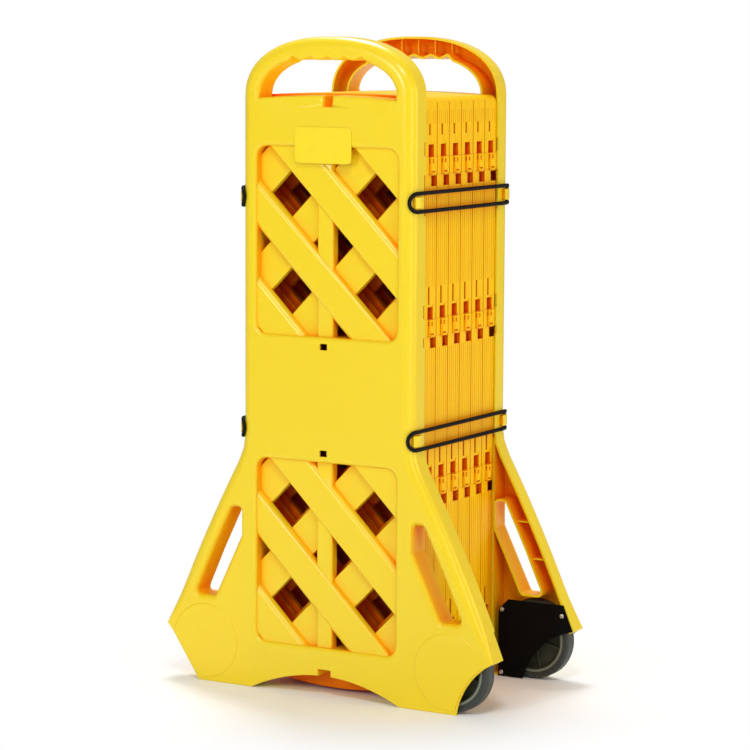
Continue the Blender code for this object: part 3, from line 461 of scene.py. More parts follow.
def grip_opening():
    """The hole of the handle, with finger bumps on the underside of the grip."""
    half_width = HALF_BODY - HANDLE_LEG
    rise = HANDLE_HEIGHT - GRIP_BAND
    row = GRIP_BUMPS * GRIP_PITCH / 2
    right = [p for p in dome(half_width, rise, 90, HANDLE_STEPS // 2) if p[0] > row + GRIP_BUMP]
    count = GRIP_BUMPS * BUMP_STEPS
    places = [row - 2 * row * n / count for n in range(count + 1)]
    bumps = [(x, DECK + rise - finger_wave(x)) for x in places]
    notch_left = DECK_NOTCH_OFFSET - DECK_NOTCH_WIDTH / 2
    notch_right = DECK_NOTCH_OFFSET + DECK_NOTCH_WIDTH / 2
    low = DECK - DECK_NOTCH_DEPTH
    places = [half_width * share for share in DECK_SHARES]
    left_deck = [(x, deck_height(x)) for x in [-place for place in places] + [notch_left]]
    right_deck = [(x, deck_height(x)) for x in [notch_right] + places[::-1]]
    notch = [(notch_left, low), (notch_right, low)]
    return right + bumps + mirrored(right) + left_deck + notch + right_deck


def window(centre, grow=0.0):
    """A window's rounded rectangle, or one that is larger all round."""
    half = HALF_BODY - WINDOW_MARGIN + grow
    tall = WINDOW_HEIGHT / 2 + grow
    corners = rectangle(-half, half, centre - tall, centre + tall)
    return rounded(corners, WINDOW_RADIUS + grow)


def hand_slot():
    """The hand slot in the right leg."""
    inner = HALF_BODY + SLOT_OFFSET
    outer_foot = arm_edge(SLOT_BOTTOM) - SLOT_RIM
    middle = (SLOT_TOP + SLOT_BOTTOM) / 2
    corners = [(outer_foot - SLOT_WIDTH, SLOT_BOTTOM), (outer_foot, SLOT_BOTTOM),
               (arm_edge(middle) - SLOT_RIM, middle), (arm_edge(SLOT_TOP) - SLOT_RIM, SLOT_TOP),
               (inner, SLOT_TOP), (inner, SLOT_KNEE)]
    return rounded(corners, SLOT_RADIUS)


def clipped(points, direction, low, high):
    """The part of a convex outline between two parallel lines."""
    def keep(outline, sign, limit):
        result = []
        for n, point in enumerate(outline):
            following = outline[(n + 1) % len(outline)]
            here = sign * (point[0] * direction[0] + point[1] * direction[1]) - limit
            there = sign * (following[0] * direction[0] + following[1] * direction[1]) - limit
            if here <= 0:
                result.append(point)
            if min(here, there) < 0 < max(here, there):
                t = here / (here - there)
                result.append(tuple(a + (b - a) * t for a, b in zip(point, following)))
        return result
    strip = keep(keep(points, 1, high), -1, -low)
    return [p for n, p in enumerate(strip) if (Vector(p) - Vector(strip[n - 1])).length > GAP]


def lattice_strips(lean, centre, outline, gaps):
    """Slats, or the gaps between them, across one window; lean is 1 or -1."""
    direction = (1 / sqrt(2), lean / sqrt(2))
    middle = direction[0] * LATTICE_SHIFT + direction[1] * (centre - LATTICE_DROP)
    step = LATTICE_PITCH * sqrt(2)
    half = (step - SLAT_WIDTH) / 2 if gaps else SLAT_WIDTH / 2
    count = LATTICE_SLATS - 1 if gaps else LATTICE_SLATS
    places = [middle + (n - (count - 1) / 2) * step for n in range(count)]
    strips = [clipped(outline, direction, place - half, place + half) for place in places]
    return [strip for strip in strips if len(strip) > 2]


# Solids

def sided(side, near, far):
    """Two distances from the middle as places on one side of it, in order; side is 1 or -1."""
    return sorted((side * near, side * far))


def add_object(data):
    """A working object that shows a mesh or a curve."""
    obj = bpy.data.objects.new("solid", data)
    WORK.objects.link(obj)
    return obj


def opened(mesh):
    """A mesh as a bmesh."""
    bm = bmesh.new()
    bm.from_mesh(mesh)
    return bm


def stored(bm, obj):
    """An object with a bmesh as its mesh; the bmesh is freed."""
    bm.to_mesh(obj.data)
    bm.free()
    return obj


def mesh_object(bm):
    """A working object made from a bmesh, which is freed."""
    return stored(bm, add_object(bpy.data.meshes.new("solid")))


def evaluated_mesh(obj):
    """The mesh that an object shows with its modifiers or its bevel."""
    bpy.context.view_layer.update()
    return bpy.data.meshes.new_from_object(obj.evaluated_get(bpy.context.evaluated_depsgraph_get()))


def settle(obj):
    """Turn an object's modifiers into its mesh."""
    mesh = evaluated_mesh(obj)
    obj.modifiers.clear()
    obj.data = mesh
    return obj


def add_loop(curve, points):
    """A closed line through points, on a curve."""
    spline = curve.splines.new("POLY")
    spline.points.add(len(points) - 1)
    for point, place in zip(spline.points, points):
        point.co = (*place, 1)
    spline.use_cyclic_u = True


def slab(outlines, front, back):
    """Flat outlines given thickness along Y."""
    curve = bpy.data.curves.new("outlines", "CURVE")
    curve.dimensions = "2D"
    curve.fill_mode = "BOTH"
    curve.extrude = (back - front) / 2
    for outline in outlines:
        add_loop(curve, [(x, z, 0) for x, z in outline])
    flat = add_object(curve)
    flat.rotation_euler = (pi / 2, 0, 0)
    flat.location = (0, (front + back) / 2, 0)
    mesh = evaluated_mesh(flat)
    mesh.transform(flat.matrix_world)
    bpy.data.objects.remove(flat)
    bm = opened(mesh)
    bmesh.ops.remove_doubles(bm, verts=bm.verts, dist=WELD)
    bmesh.ops.dissolve_limit(bm, angle_limit=radians(FLAT_DEGREES), verts=bm.verts, edges=bm.edges)
    return mesh_object(bm)


def lofted(rings):
    """A closed solid through rings of points, with flat ends."""
    bm = bmesh.new()
    loops = [[bm.verts.new(point) for point in ring] for ring in rings]
    for near, far in zip(loops, loops[1:]):
        for n in range(len(near)):
            bm.faces.new((near[n - 1], near[n], far[n], far[n - 1]))
    bm.faces.new(loops[0])
    bm.faces.new(loops[-1])
    bmesh.ops.remove_doubles(bm, verts=bm.verts, dist=WELD)
    bmesh.ops.connect_verts_nonplanar(bm, angle_limit=radians(PLANAR_DEGREES), faces=bm.faces)
    bmesh.ops.recalc_face_normals(bm, faces=bm.faces)
    return mesh_object(bm)


def edge_rings(outline, radii, face, direction, flare=-1, steps=ROUND_STEPS):
    """Rings that round a slab's edge at one face, each point by its own radius; direction leads into it.
    A flare of 1 widens the slab towards the face instead."""
    rings = []
    for k in range(steps + 1):
        turn = k / steps * pi / 2
        ring = []
        for (x, z), step, radius in zip(outline, mitres(outline), radii):
            reach = flare * radius * (1 - sin(turn))
            depth = face + direction * radius * (1 - cos(turn))
            ring.append((x + step.x * reach, depth, z + step.y * reach))
        rings.append(ring)
    return rings


def soft_slab(outline, radii, front, back):
    """A slab whose front edge is rounded by its own radius at every point."""
    rings = edge_rings(outline, radii, front, 1)
    rings.append([(x, back, z) for x, z in outline])
    return lofted(rings)


def soft_plate(outline, radius, front, back):
    """A plate rounded alike along the edges of both faces."""
    radii = [radius] * len(outline)
    rings = edge_rings(outline, radii, front, 1, steps=PLATE_STEPS)
    rings += reversed(edge_rings(outline, radii, back, -1, steps=PLATE_STEPS))
    return lofted(rings)


def box(left, right, front, back, bottom, top, edge=0.0):
    """A box between six planes, its edges rounded if asked."""
    bm = bmesh.new()
    bmesh.ops.create_cube(bm, size=1)
    bmesh.ops.scale(bm, vec=(right - left, back - front, top - bottom), verts=bm.verts)
    middle = Vector((left + right, front + back, bottom + top)) / 2
    bmesh.ops.translate(bm, vec=middle, verts=bm.verts)
    if edge:
        bmesh.ops.bevel(bm, geom=bm.edges, offset=edge, segments=BOX_EDGE_STEPS, profile=0.5,
                        affect="EDGES")
    return mesh_object(bm)


def cylinder(centre, radius, front, back, sides, axis="Y"):
    """A cylinder along Y between two planes, or along Z between two heights."""
    bm = bmesh.new()
    bmesh.ops.create_cone(bm, cap_ends=True, segments=sides, radius1=radius, radius2=radius,
                          depth=back - front)
    turn = Matrix.Rotation(pi / sides, 4, "Z")
    middle = (front + back) / 2
    if axis == "Y":
        place = Matrix.Translation((centre[0], middle, centre[1])) @ Matrix.Rotation(pi / 2, 4, "X")
    else:
        place = Matrix.Translation((centre[0], centre[1], middle))
    bmesh.ops.transform(bm, matrix=place @ turn, verts=bm.verts)
    return mesh_object(bm)


def joined(objects):
    """Separate solids as one object."""
    bm = bmesh.new()
    for obj in objects:
        bm.from_mesh(obj.data)
        bpy.data.objects.remove(obj)
    return mesh_object(bm)


def combine(target, tool, operation):
    """Join a tool to an object, or cut the object with it."""
    modifier = target.modifiers.new("combine", "BOOLEAN")
    modifier.operation = operation
    modifier.solver = "EXACT"
    modifier.object = tool
    settle(target)
    bpy.data.objects.remove(tool)
    return target


def cut(target, tools):
    """Cut separate solids out of an object."""
    return combine(target, joined(tools), "DIFFERENCE")


def fuse(target, tools):
    """Join separate solids to an object."""
    return combine(target, joined(tools), "UNION")


def round_front(obj, front, amount, segments, wanted, lower_share=1.0):
    """Round the edges of the front face whose direction is wanted, those on its lower side by a share."""
    bm = opened(obj.data)
    layer = bm.edges.layers.float.new("bevel_weight_edge")
    for edge in bm.edges:
        along = (edge.verts[1].co - edge.verts[0].co).normalized()
        if all(abs(v.co.y - front) < GAP for v in edge.verts) and wanted(along):
            face = max(edge.link_faces, key=lambda f: -f.normal.y)
            middle = (edge.verts[0].co + edge.verts[1].co) / 2
            edge[layer] = 1 if middle.z > face.calc_center_median().z else lower_share
    bevel = stored(bm, obj).modifiers.new("rounding", "BEVEL")
    bevel.limit_method = "WEIGHT"
    bevel.width = amount
    bevel.segments = segments
    bevel.use_clamp_overlap = False
    return settle(obj)


def turned(profile, segments, centre, front):
    """A profile of (radius, depth) points turned round an axis along Y; it closes unless it starts there."""
    mesh = bpy.data.meshes.new("solid")
    points = [(radius, 0, -depth) for radius, depth in profile]
    edges = [(n, n + 1) for n in range(len(points) - 1)]
    if profile[0][0] > 0:
        edges.append((len(points) - 1, 0))
    mesh.from_pydata(points, edges, [])
    obj = add_object(mesh)
    screw = obj.modifiers.new("turn", "SCREW")
    screw.axis = "Z"
    screw.steps = segments
    screw.render_steps = segments
    screw.use_merge_vertices = True
    screw.merge_threshold = WELD
    settle(obj)
    obj.data.transform(Matrix.Translation((centre[0], front, centre[1])) @ Matrix.Rotation(pi / 2, 4, "X"))
    return face_outward(obj)


def face_outward(obj):
    """Point every face of a closed mesh outward."""
    bm = opened(obj.data)
    bmesh.ops.recalc_face_normals(bm, faces=bm.faces)
    return stored(bm, obj)


def reflected(obj, axis):
    """A copy of an object mirrored along X or Y."""
    mesh = obj.data.copy()
    mesh.transform(Matrix.Diagonal((-1, 1, 1, 1) if axis == "X" else (1, -1, 1, 1)))
    mesh.flip_normals()
    return add_object(mesh)


def to_end(obj, rear):
    """A copy of a solid moved from the end panel's frame to the front or the rear of the barrier."""
    if rear:
        copy = reflected(obj, "Y")
        copy.data.transform(Matrix.Translation((0, DEPTH / 2, 0)))
        return copy
    mesh = obj.data.copy()
    mesh.transform(Matrix.Translation((0, -DEPTH / 2, 0)))
    return add_object(mesh)


def piece(obj, name, material, body, nodes=(), smooth=SMOOTH_DEGREES):
    """Name and dress a finished piece, and put it on its body in place of the nodes it stands for."""
    obj.name = name
    obj.data.name = name
    obj.data.materials.clear()
    obj.data.materials.append(material)
    obj.data.shade_smooth()
    obj.data.set_sharp_from_angle(angle=radians(smooth))
    normals = obj.modifiers.new("normals", "WEIGHTED_NORMAL")
    normals.keep_sharp = True
    normals.weight = 100
    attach(obj, body)
    if nodes:
        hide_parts(*nodes)
    return obj


# Materials

def new_material(name):
    """A node material, with its tree, its shader and a place on the object."""
    material = bpy.data.materials.new(name)
    material.use_nodes = True
    tree = material.node_tree
    place = add_node(tree, "ShaderNodeTexCoord").outputs["Object"]
    return material, tree, tree.nodes["Principled BSDF"], place


def feed(socket, value):
    """Give an input a value, a colour without its alpha, or a link from an output."""
    if isinstance(value, bpy.types.NodeSocket):
        socket.id_data.links.new(value, socket)
    else:
        socket.default_value = (*value, 1) if socket.type == "RGBA" else value


def add_node(tree, kind, *inputs, **values):
    """A node with its first inputs in order, and its settings and other inputs by name."""
    node = tree.nodes.new(kind)
    for key, value in values.items():
        if key in node.inputs:
            feed(node.inputs[key], value)
        else:
            setattr(node, key, value)
    for socket, value in zip(node.inputs, inputs):
        feed(socket, value)
    return node


def dress(shader, inputs):
    """Feed a shader's inputs by name."""
    for name, value in inputs.items():
        feed(shader.inputs[name], value)


def noise_node(tree, scale, detail, place):
    """Smooth noise at a number of features a metre."""
    return add_node(tree, "ShaderNodeTexNoise", Scale=scale, Detail=detail, Vector=place).outputs["Fac"]


def ranged(tree, value, low, high, start=0.3, end=0.7):
    """A value between low and high."""
    return add_node(tree, "ShaderNodeMapRange", value, start, end, low, high).outputs["Result"]


def blended(tree, factor, first, second):
    """A colour that goes from the first to the second with a factor."""
    node = add_node(tree, "ShaderNodeMix", factor, data_type="RGBA")
    feed(node.inputs[6], first)
    feed(node.inputs[7], second)
    return node.outputs[2]


def bumped(tree, shader, height, strength, distance, rounding):
    """Give the shader a bumped normal over softly rounded edges."""
    bevel = add_node(tree, "ShaderNodeBevel", samples=4, Radius=rounding)
    bump = add_node(tree, "ShaderNodeBump", Strength=strength, Distance=distance, Height=height,
                    Normal=bevel.outputs["Normal"])
    feed(shader.inputs["Normal"], bump.outputs["Normal"])


def moulded_plastic(name, colour, deep, hollow, roughness, shine, coat, glow, alone):
    """Glossy moulded plastic with faint flow marks and a fine skin; hollows get painted shade, a darker,
    redder colour with fading gloss and coat; alone leaves other pieces out of what counts as a hollow."""
    material, tree, shader, place = new_material(name)
    flow = noise_node(tree, 7.0, 3.0, place)
    surface = blended(tree, ranged(tree, flow, 0.0, 0.35), colour, deep)
    # Painted shade: ambient occlusion turns the base colour to the darker, redder hollow colour near walls,
    # and dims the gloss and coat there.
    unshaded_share = add_node(tree, "ShaderNodeAmbientOcclusion", samples=6, only_local=alone,
                          Distance=PAINTED_SHADE_REACH).outputs["AO"]
    rubbed = noise_node(tree, 46.0, 6.0, place)
    dress(shader, {
        "Base Color": blended(tree, ranged(tree, unshaded_share, 0.0, 1.0, 0.15, 0.92), hollow, surface),
        "Roughness": ranged(tree, rubbed, roughness * 0.95, roughness * 1.1),
        "Specular IOR Level": ranged(tree, unshaded_share, 0.05, shine, 0.3, 0.9),
        "Coat Weight": ranged(tree, unshaded_share, 0.0, coat, 0.5, 0.95),
        "Coat Roughness": 0.2,
        "IOR": 1.5,
        "Subsurface Weight": glow,
        "Subsurface Radius": (1.0, 0.25, 0.02),
        "Subsurface Scale": GLOW_REACH})
    bumped(tree, shader, noise_node(tree, 1900.0, 2.0, place), 0.04, 0.0002, SOFT_EDGE)
    return material


def rubber(name, colour, dusty):
    """Matt grey rubber with a dusty bloom and a fine grain."""
    material, tree, shader, place = new_material(name)
    bloom = noise_node(tree, 55.0, 5.0, place)
    dress(shader, {"Base Color": blended(tree, ranged(tree, bloom, 0, 1), colour, dusty),
                   "Roughness": ranged(tree, bloom, 0.45, 0.62)})
    bumped(tree, shader, noise_node(tree, 1200.0, 3.0, place), 0.12, 0.0003, SOFT_EDGE)
    return material


def rimmed_hub(name, colour, rim_highlight_colour):
    """Dull dark olive plastic with a lighter band on the hub's rim, measured from the axle: the band is a
    painted highlight and the olive tint a painted reflection of the yellow plastic.
    """
    material, tree, shader, place = new_material(name)
    offset = add_node(tree, "ShaderNodeVectorMath", place, (WHEEL_X, 0, WHEEL_Z), operation="SUBTRACT")
    flat = add_node(tree, "ShaderNodeVectorMath", offset.outputs["Vector"], (1, 0, 1), operation="MULTIPLY")
    length = add_node(tree, "ShaderNodeVectorMath", flat.outputs["Vector"], operation="LENGTH")
    rim = WHEEL_RADIUS - TYRE_THICKNESS
    share = ranged(tree, length.outputs["Value"], 0, 1, rim - HUB_RING - HUB_RING_FADE, rim - HUB_RING)
    marks = noise_node(tree, 60.0, 5.0, place)
    dress(shader, {"Base Color": blended(tree, share, colour, rim_highlight_colour),
                   "Roughness": ranged(tree, marks, 0.5, 0.65)})
    bumped(tree, shader, marks, 0.05, 0.0003, 0.0005)
    return material


def black_plastic(name, colour, worn, roughness):
    """Black moulded plastic with a fine leathery texture."""
    material, tree, shader, place = new_material(name)
    cells = add_node(tree, "ShaderNodeTexVoronoi", place, Scale=700.0)
    marks = noise_node(tree, 35.0, 6.0, place)
    dress(shader, {"Base Color": blended(tree, ranged(tree, marks, 0, 1), colour, worn),
                   "Roughness": ranged(tree, marks, roughness * 0.9, roughness * 1.2),
                   "Specular IOR Level": 0.08})
    bumped(tree, shader, cells.outputs["Distance"], 0.15, 0.0003, 0.0005)
    return material


def braided(name, colour, lighter):
    """Braided black elastic: crossing diagonal strands from two waves."""
    material, tree, shader, place = new_material(name)
    heights = []
    for turn in (0.9, -0.9):
        mapping = add_node(tree, "ShaderNodeMapping", place, Rotation=(turn, 0, turn))
        wave = add_node(tree, "ShaderNodeTexWave", mapping.outputs["Vector"], Scale=230.0, Distortion=0.4)
        heights.append(wave.outputs["Fac"])
    braid = add_node(tree, "ShaderNodeMath", *heights, operation="MAXIMUM").outputs["Value"]
    dress(shader, {"Base Color": blended(tree, ranged(tree, braid, 0, 1, 0.4, 1.0), colour, lighter),
                   "Roughness": ranged(tree, braid, 0.85, 0.7, 0.4, 1.0),
                   "Specular IOR Level": 0.2})
    bumped(tree, shader, braid, 0.5, 0.0005, 0.0003)
    return material


def bright_steel(name):
    """Zinc-plated steel with fine turning marks."""
    material, tree, shader, place = new_material(name)
    marks = noise_node(tree, 420.0, 4.0, place)
    colour = blended(tree, ranged(tree, marks, 0, 1), (0.62, 0.62, 0.6), (0.74, 0.73, 0.7))
    dress(shader, {"Base Color": colour, "Roughness": ranged(tree, marks, 0.22, 0.36), "Metallic": 1})
    bumped(tree, shader, marks, 0.08, 0.0002, 0.0003)
    return material


# End panels, built with their face at y = 0 and their open side at y = SHELL_DEPTH

def edge_radius(z):
    """How far the face's outer edge is rounded at a height."""
    if z < ARM_TIP:
        return ROUND_BASE
    share = min(1, (z - ARM_TIP) / (SLOT_BOTTOM - ARM_TIP))
    return ROUND_TIP + share * (ROUND_BODY - ROUND_TIP)


def grip_radius(z):
    """How far the rim of the handle's opening is rounded at a height."""
    if z > HEIGHT - GRIP_BAND - GRIP_BUMP - GAP:
        return ROUND_BUMP
    if z > DECK + DECK_CROWN + GAP:
        return ROUND_GRIP
    return ROUND_DECK if z > DECK - GAP else 0


def shell_skin():
    """The hollow moulding: one face with a wall round its edge and round every opening."""
    outline = shell_outline()
    radii = [edge_radius(z) for _, z in outline]
    shell = soft_slab(outline, radii, 0, SHELL_DEPTH)
    inner_radii = [max(0, radius - WALL) for radius in radii]
    cavity = soft_slab(grown(outline, -WALL), inner_radii, WALL, SHELL_DEPTH + OVERRUN)
    grip = grip_opening()
    windows = [window(centre) for centre in WINDOW_CENTRES]
    slots = [hand_slot(), mirrored(hand_slot())]
    rims = [slab([grown(hole, WALL)], -OVERRUN, SHELL_DEPTH + 2 * OVERRUN)
            for hole in windows + slots + [grip]]
    cut(cavity, rims)
    combine(shell, cavity, "DIFFERENCE")
    holes = [(hole, [WINDOW_FLARE] * len(hole)) for hole in windows]
    holes += [(hole, [SLOT_FLARE] * len(hole)) for hole in slots]
    holes.append((grip, [grip_radius(z) for _, z in grip]))
    cutters = []
    for hole, radii in holes:
        rings = edge_rings(hole, radii, 0, 1, 1)
        mouth = [(x, -OVERRUN, z) for x, _, z in rings[0]]
        rings.append([(x, SHELL_DEPTH + OVERRUN, z) for x, z in hole])
        cutters.append(lofted([mouth] + rings))
    return cut(shell, cutters)


def along_slat(lean):
    """A test that picks the long edges of slats."""
    return lambda along: abs(along.x + lean * along.z) < SLANT_TOLERANCE


def shell_lattice():
    """The posts in both windows, and two crossing layers of slats."""
    posts = []
    for centre in WINDOW_CENTRES:
        tall = WINDOW_HEIGHT / 2 + SLAT_SEAT
        outline = rectangle(POST_OFFSET - POST_WIDTH / 2, POST_OFFSET + POST_WIDTH / 2,
                            centre - tall, centre + tall)
        post = slab([outline], POST_FRONT, POST_BACK)
        posts.append(round_front(post, POST_FRONT, POST_ROUND, BEVEL_STEPS,
                                 lambda along: abs(along.z) > abs(along.x)))
    parts = [joined(posts)]
    layers = ((1, SLAT_FRONT, SLAT_MIDDLE + SLAT_SEAT, SLAT_ROUND, 2 * BEVEL_STEPS, SLAT_LOWER_SHARE),
              (-1, SLAT_MIDDLE, SLAT_BACK, SLAT_LIP, 2, 1))
    for lean, front, back, amount, segments, lower_share in layers:
        strips = []
        for centre in WINDOW_CENTRES:
            strips += lattice_strips(lean, centre, window(centre, SLAT_SEAT), False)
        parts.append(round_front(slab(strips, front, back), front, amount, segments,
                                 along_slat(lean), lower_share))
    return parts


def handle_top(x):
    """The height of the handle's outer edge."""
    share = 1 - (abs(x) / HALF_BODY) ** HANDLE_ROUNDNESS
    return DECK + HANDLE_HEIGHT * share ** (1 / HANDLE_ROUNDNESS)


def hinge_web(side):
    """The web that carries the hinges beside a leg, cut back at its top behind the body's round corner."""
    skin = WALL / 2
    deep = SHELL_DEPTH - GAP
    top = ARM_TOP + 2 * WALL
    outline = [(skin, skin), (deep, skin), (deep, top), (ROUND_BODY, top), (ROUND_BODY, ARM_TOP),
               (skin, ARM_TOP - ROUND_BODY)]
    web = slab([outline], *sided(-side, HALF_BODY - 2 * GAP, HALF_BODY - WALL - 2 * GAP))
    web.data.transform(Matrix.Rotation(pi / 2, 4, "Z"))
    return web


def shell_ribs():
    """Stiffening ribs on the open side, and the web that carries the hinges beside each leg."""
    back = SHELL_DEPTH - RIB_SETBACK
    skin = WALL / 2
    half = RIB / 2
    ribs = []
    for n in range(GRIP_BUMPS + 1):
        x = (n - GRIP_BUMPS / 2) * GRIP_PITCH
        ribs.append(box(x - half, x + half, ROUND_BODY, ROUND_BODY + 2 * WALL,
                        HEIGHT - GRIP_BAND + skin, handle_top(x) - skin))
    low, high = (WINDOW_CENTRES[0] + WINDOW_HEIGHT / 2, WINDOW_CENTRES[1] - WINDOW_HEIGHT / 2)
    for side in (-1, 1):
        x = side * RIB_REACH
        ribs.append(box(x - half, x + half, skin, back, low + skin, high - skin))
        x = side * FOOT_RIB_REACH
        ribs.append(box(x - half, x + half, skin, back, arch_height(x) + skin, WINDOW_SILL - skin))
        ribs.append(hinge_web(side))
        for z in LEG_RIBS:
            start, end = sided(side, arm_edge(z) - SLOT_RIM + skin, arm_edge(z) - skin)
            ribs.append(box(start, end, ROUND_BODY, back, z - half, z + half))
    return ribs


def tab_block(level):
    """The tab on the right rounded corner that an elastic loop hooks over."""
    centre = (HALF_BODY - ROUND_BODY, ROUND_BODY)
    ring = arc(centre, ROUND_BODY + TAB_LENGTH, -TAB_LAST_DEGREES, -TAB_FIRST_DEGREES, TAB_STEPS)
    ring += arc(centre, ROUND_BODY - WALL / 2, -TAB_FIRST_DEGREES, -TAB_LAST_DEGREES, TAB_STEPS)
    tab = soft_plate(ring, TAB_EDGE, -TAB_HEIGHT / 2, TAB_HEIGHT / 2)
    tab.data.transform(Matrix.Translation((0, 0, level)) @ Matrix.Rotation(-pi / 2, 4, "X"))
    return tab


def screw_places():
    """Where the wheel cover's three screws sit."""
    left = COVER_LEFT + SCREW_INSET
    top = COVER_TOP - COVER_CUT
    return [(left, top), (arm_edge(top) - SCREW_EDGE, top), (left, COVER_MARGIN + SCREW_INSET)]


def rim_slots(width):
    """Slots in the wall beside each hinge, which show as dark gaps beside the folded panels."""
    slots = []
    left, right = HALF_BODY - WALL - OVERRUN, HALF_BODY + OVERRUN
    front = SHELL_DEPTH - width
    for n, level in enumerate(HINGE_LEVELS):
        if level < ARM_TOP:
            continue
        for k, (low, high) in enumerate(RIM_SLOT_LEVELS):
            if k == 0 and n == len(HINGE_LEVELS) - 1:
                low = RIM_SLOT_LOWEST
            slots.append(box(left, right, front, SHELL_DEPTH + OVERRUN, level + low,
                             level + high))
    return slots


def pods():
    """The low round bosses over both feet, trimmed to the face."""
    bite = grown(shell_outline(), -2 * ROUND_BASE)
    discs = []
    for side in (-1, 1):
        profile = [(0, -POD_HEIGHT)]
        for k in range(POD_STEPS + 1):
            turn = k / POD_STEPS * pi / 2
            profile.append((POD_RADIUS - POD_RIM * (1 - sin(turn)), -POD_HEIGHT * cos(turn)))
        profile += [(POD_RADIUS, WALL / 2), (0, WALL / 2)]
        disc = turned(profile, WHEEL_SEGMENTS, (side * WHEEL_X, WHEEL_Z), 0)
        trim = slab([bite], -WALL, WALL)
        discs.append(combine(disc, trim, "INTERSECT"))
    return joined(discs)


def hinge_pocket(side, boundary, level):
    """The pocket that clears a neighbour's knuckle, with a recess above it."""
    reach = KNUCKLE_RADIUS + KNUCKLE_CLEARANCE
    half = KNUCKLE_LENGTH / 2 + KNUCKLE_CLEARANCE
    return box(*sided(side, HINGE_X - reach, HALF_BODY + KNUCKLE_RADIUS), boundary - reach,
               boundary + OVERRUN, level - half, level + half + RECESS_HEIGHT)


def knuckle(side, boundary, level):
    """A hinge knuckle: a barrel on the axis at one side, with two slots above and one below."""
    half = KNUCKLE_LENGTH / 2
    barrel = cylinder((side * HINGE_X, boundary), KNUCKLE_RADIUS, level - half, level + half,
                      KNUCKLE_SIDES, "Z")
    bevel = barrel.modifiers.new("edge", "BEVEL")
    bevel.width = KNUCKLE_EDGE
    bevel.segments = BOX_EDGE_STEPS
    bevel.angle_limit = radians(SHARP_DEGREES)
    bevel.limit_method = "ANGLE"
    settle(barrel)
    cuts = []
    reach = KNUCKLE_SLOT_REACH
    for spot in KNUCKLE_SLOT_DEGREES:
        x = side * (HINGE_X + KNUCKLE_RADIUS * cos(radians(spot)))
        y = boundary + KNUCKLE_RADIUS * sin(radians(spot))
        cuts.append(box(x - reach, x + reach, y - reach, y + reach, level + KNUCKLE_SLOT_LOW,
                        level + KNUCKLE_SLOT_HIGH))
    cut(barrel, cuts)
    mouth = box(*sided(side, HINGE_X + MOUTH_START, HINGE_X + 2 * KNUCKLE_RADIUS),
                boundary - KNUCKLE_RADIUS, boundary + MOUTH_BACK, level + MOUTH_LOW, level + MOUTH_HIGH)
    return combine(barrel, mouth, "DIFFERENCE")


def end_shell():
    """One end panel in its own frame, without its hinge side."""
    shell = shell_skin()
    for part in shell_lattice():
        combine(shell, part, "UNION")
    fuse(shell, shell_ribs())
    tabs = [tab_block(level) for level in LOOP_LEVELS.values()]
    tabs += [reflected(tab, "X") for tab in tabs]
    fuse(shell, tabs)
    combine(shell, pods(), "UNION")
    room = cylinder((WHEEL_X, WHEEL_Z), WHEEL_RADIUS + WHEEL_CLEARANCE,
                    WALL - 2 * GAP, SHELL_DEPTH + OVERRUN, ROOM_SIDES)
    combine(shell, room, "DIFFERENCE")
    seat = box(HALF_BODY + OVERRUN, HALF_BASE + OVERRUN, COVER_FRONT - GAP,
               SHELL_DEPTH + OVERRUN, -OVERRUN, COVER_TOP + COVER_MARGIN)
    combine(shell, seat, "DIFFERENCE")
    fuse(shell, [cylinder(place, BOSS_RADIUS, WALL / 2, COVER_FRONT - GAP, BOSS_SIDES)
                 for place in screw_places()])
    low = WINDOW_CENTRES[0] + WINDOW_HEIGHT / 2 + SQUARE_HOLE_INSET
    high = WINDOW_CENTRES[1] - WINDOW_HEIGHT / 2 - SQUARE_HOLE_INSET
    left, right = (SQUARE_HOLE_OFFSET + side * SQUARE_HOLE_WIDTH / 2 for side in (-1, 1))
    tall = SQUARE_HOLE_HEIGHT / 2
    return cut(shell, [box(left, right, -OVERRUN, WALL + OVERRUN, z - tall, z + tall)
                       for z in (low, high)])


def eased(share):
    """A share that starts and ends gently."""
    return share * share * (3 - 2 * share)


def dip_deck(shell):
    """Set the face back between the handle's legs, towards the deck."""
    bm = opened(shell.data)
    inner = HALF_BODY - HANDLE_LEG - DECK_DIP_MARGIN
    low = DECK - DECK_DIP_REACH

    def faces_here():
        near = [f for f in bm.faces if abs(f.normal.y) > 0.9 and f.calc_center_median().y < WALL + GAP
                and max(v.co.z for v in f.verts) > low]
        return near + list({e for f in near for e in f.edges}) + list({v for f in near for v in f.verts})

    for n in range(DECK_DIP_ROWS + 1):
        z = low + (DECK + DECK_CROWN - low) * n / DECK_DIP_ROWS
        bmesh.ops.bisect_plane(bm, geom=faces_here(), plane_co=(0, 0, z), plane_no=(0, 0, 1))
    for n in range(DECK_DIP_COLUMNS + 1):
        for side in (-1, 1):
            x = side * (inner - DECK_DIP_WIDTH * n / DECK_DIP_COLUMNS)
            bmesh.ops.bisect_plane(bm, geom=faces_here(), plane_co=(x, 0, 0), plane_no=(1, 0, 0))
    for vert in bm.verts:
        x, y, z = vert.co
        if y <= 3 * WALL and low <= z <= DECK + 2 * DECK_CROWN and abs(x) <= inner:
            up = min(1, (z - low) / (DECK - low))
            across = min(1, (inner - abs(x)) / DECK_DIP_WIDTH)
            vert.co.y += DECK_DIP * eased(up) * eased(across)
    return stored(bm, shell)


def hinged_shell(shell, knuckled):
    """The end panel with knuckles down its left side, or with the pockets that take them."""
    boundary = SHELL_DEPTH + GAP / 2
    result = add_object(shell.data.copy())
    cut(result, rim_slots(RIM_SLOT_NARROW if knuckled else RIM_SLOT_WIDE))
    if knuckled:
        return fuse(result, [knuckle(-1, boundary, level) for level in HINGE_LEVELS])
    return cut(result, [hinge_pocket(-1, boundary, level) for level in HINGE_LEVELS])


# Inner panels

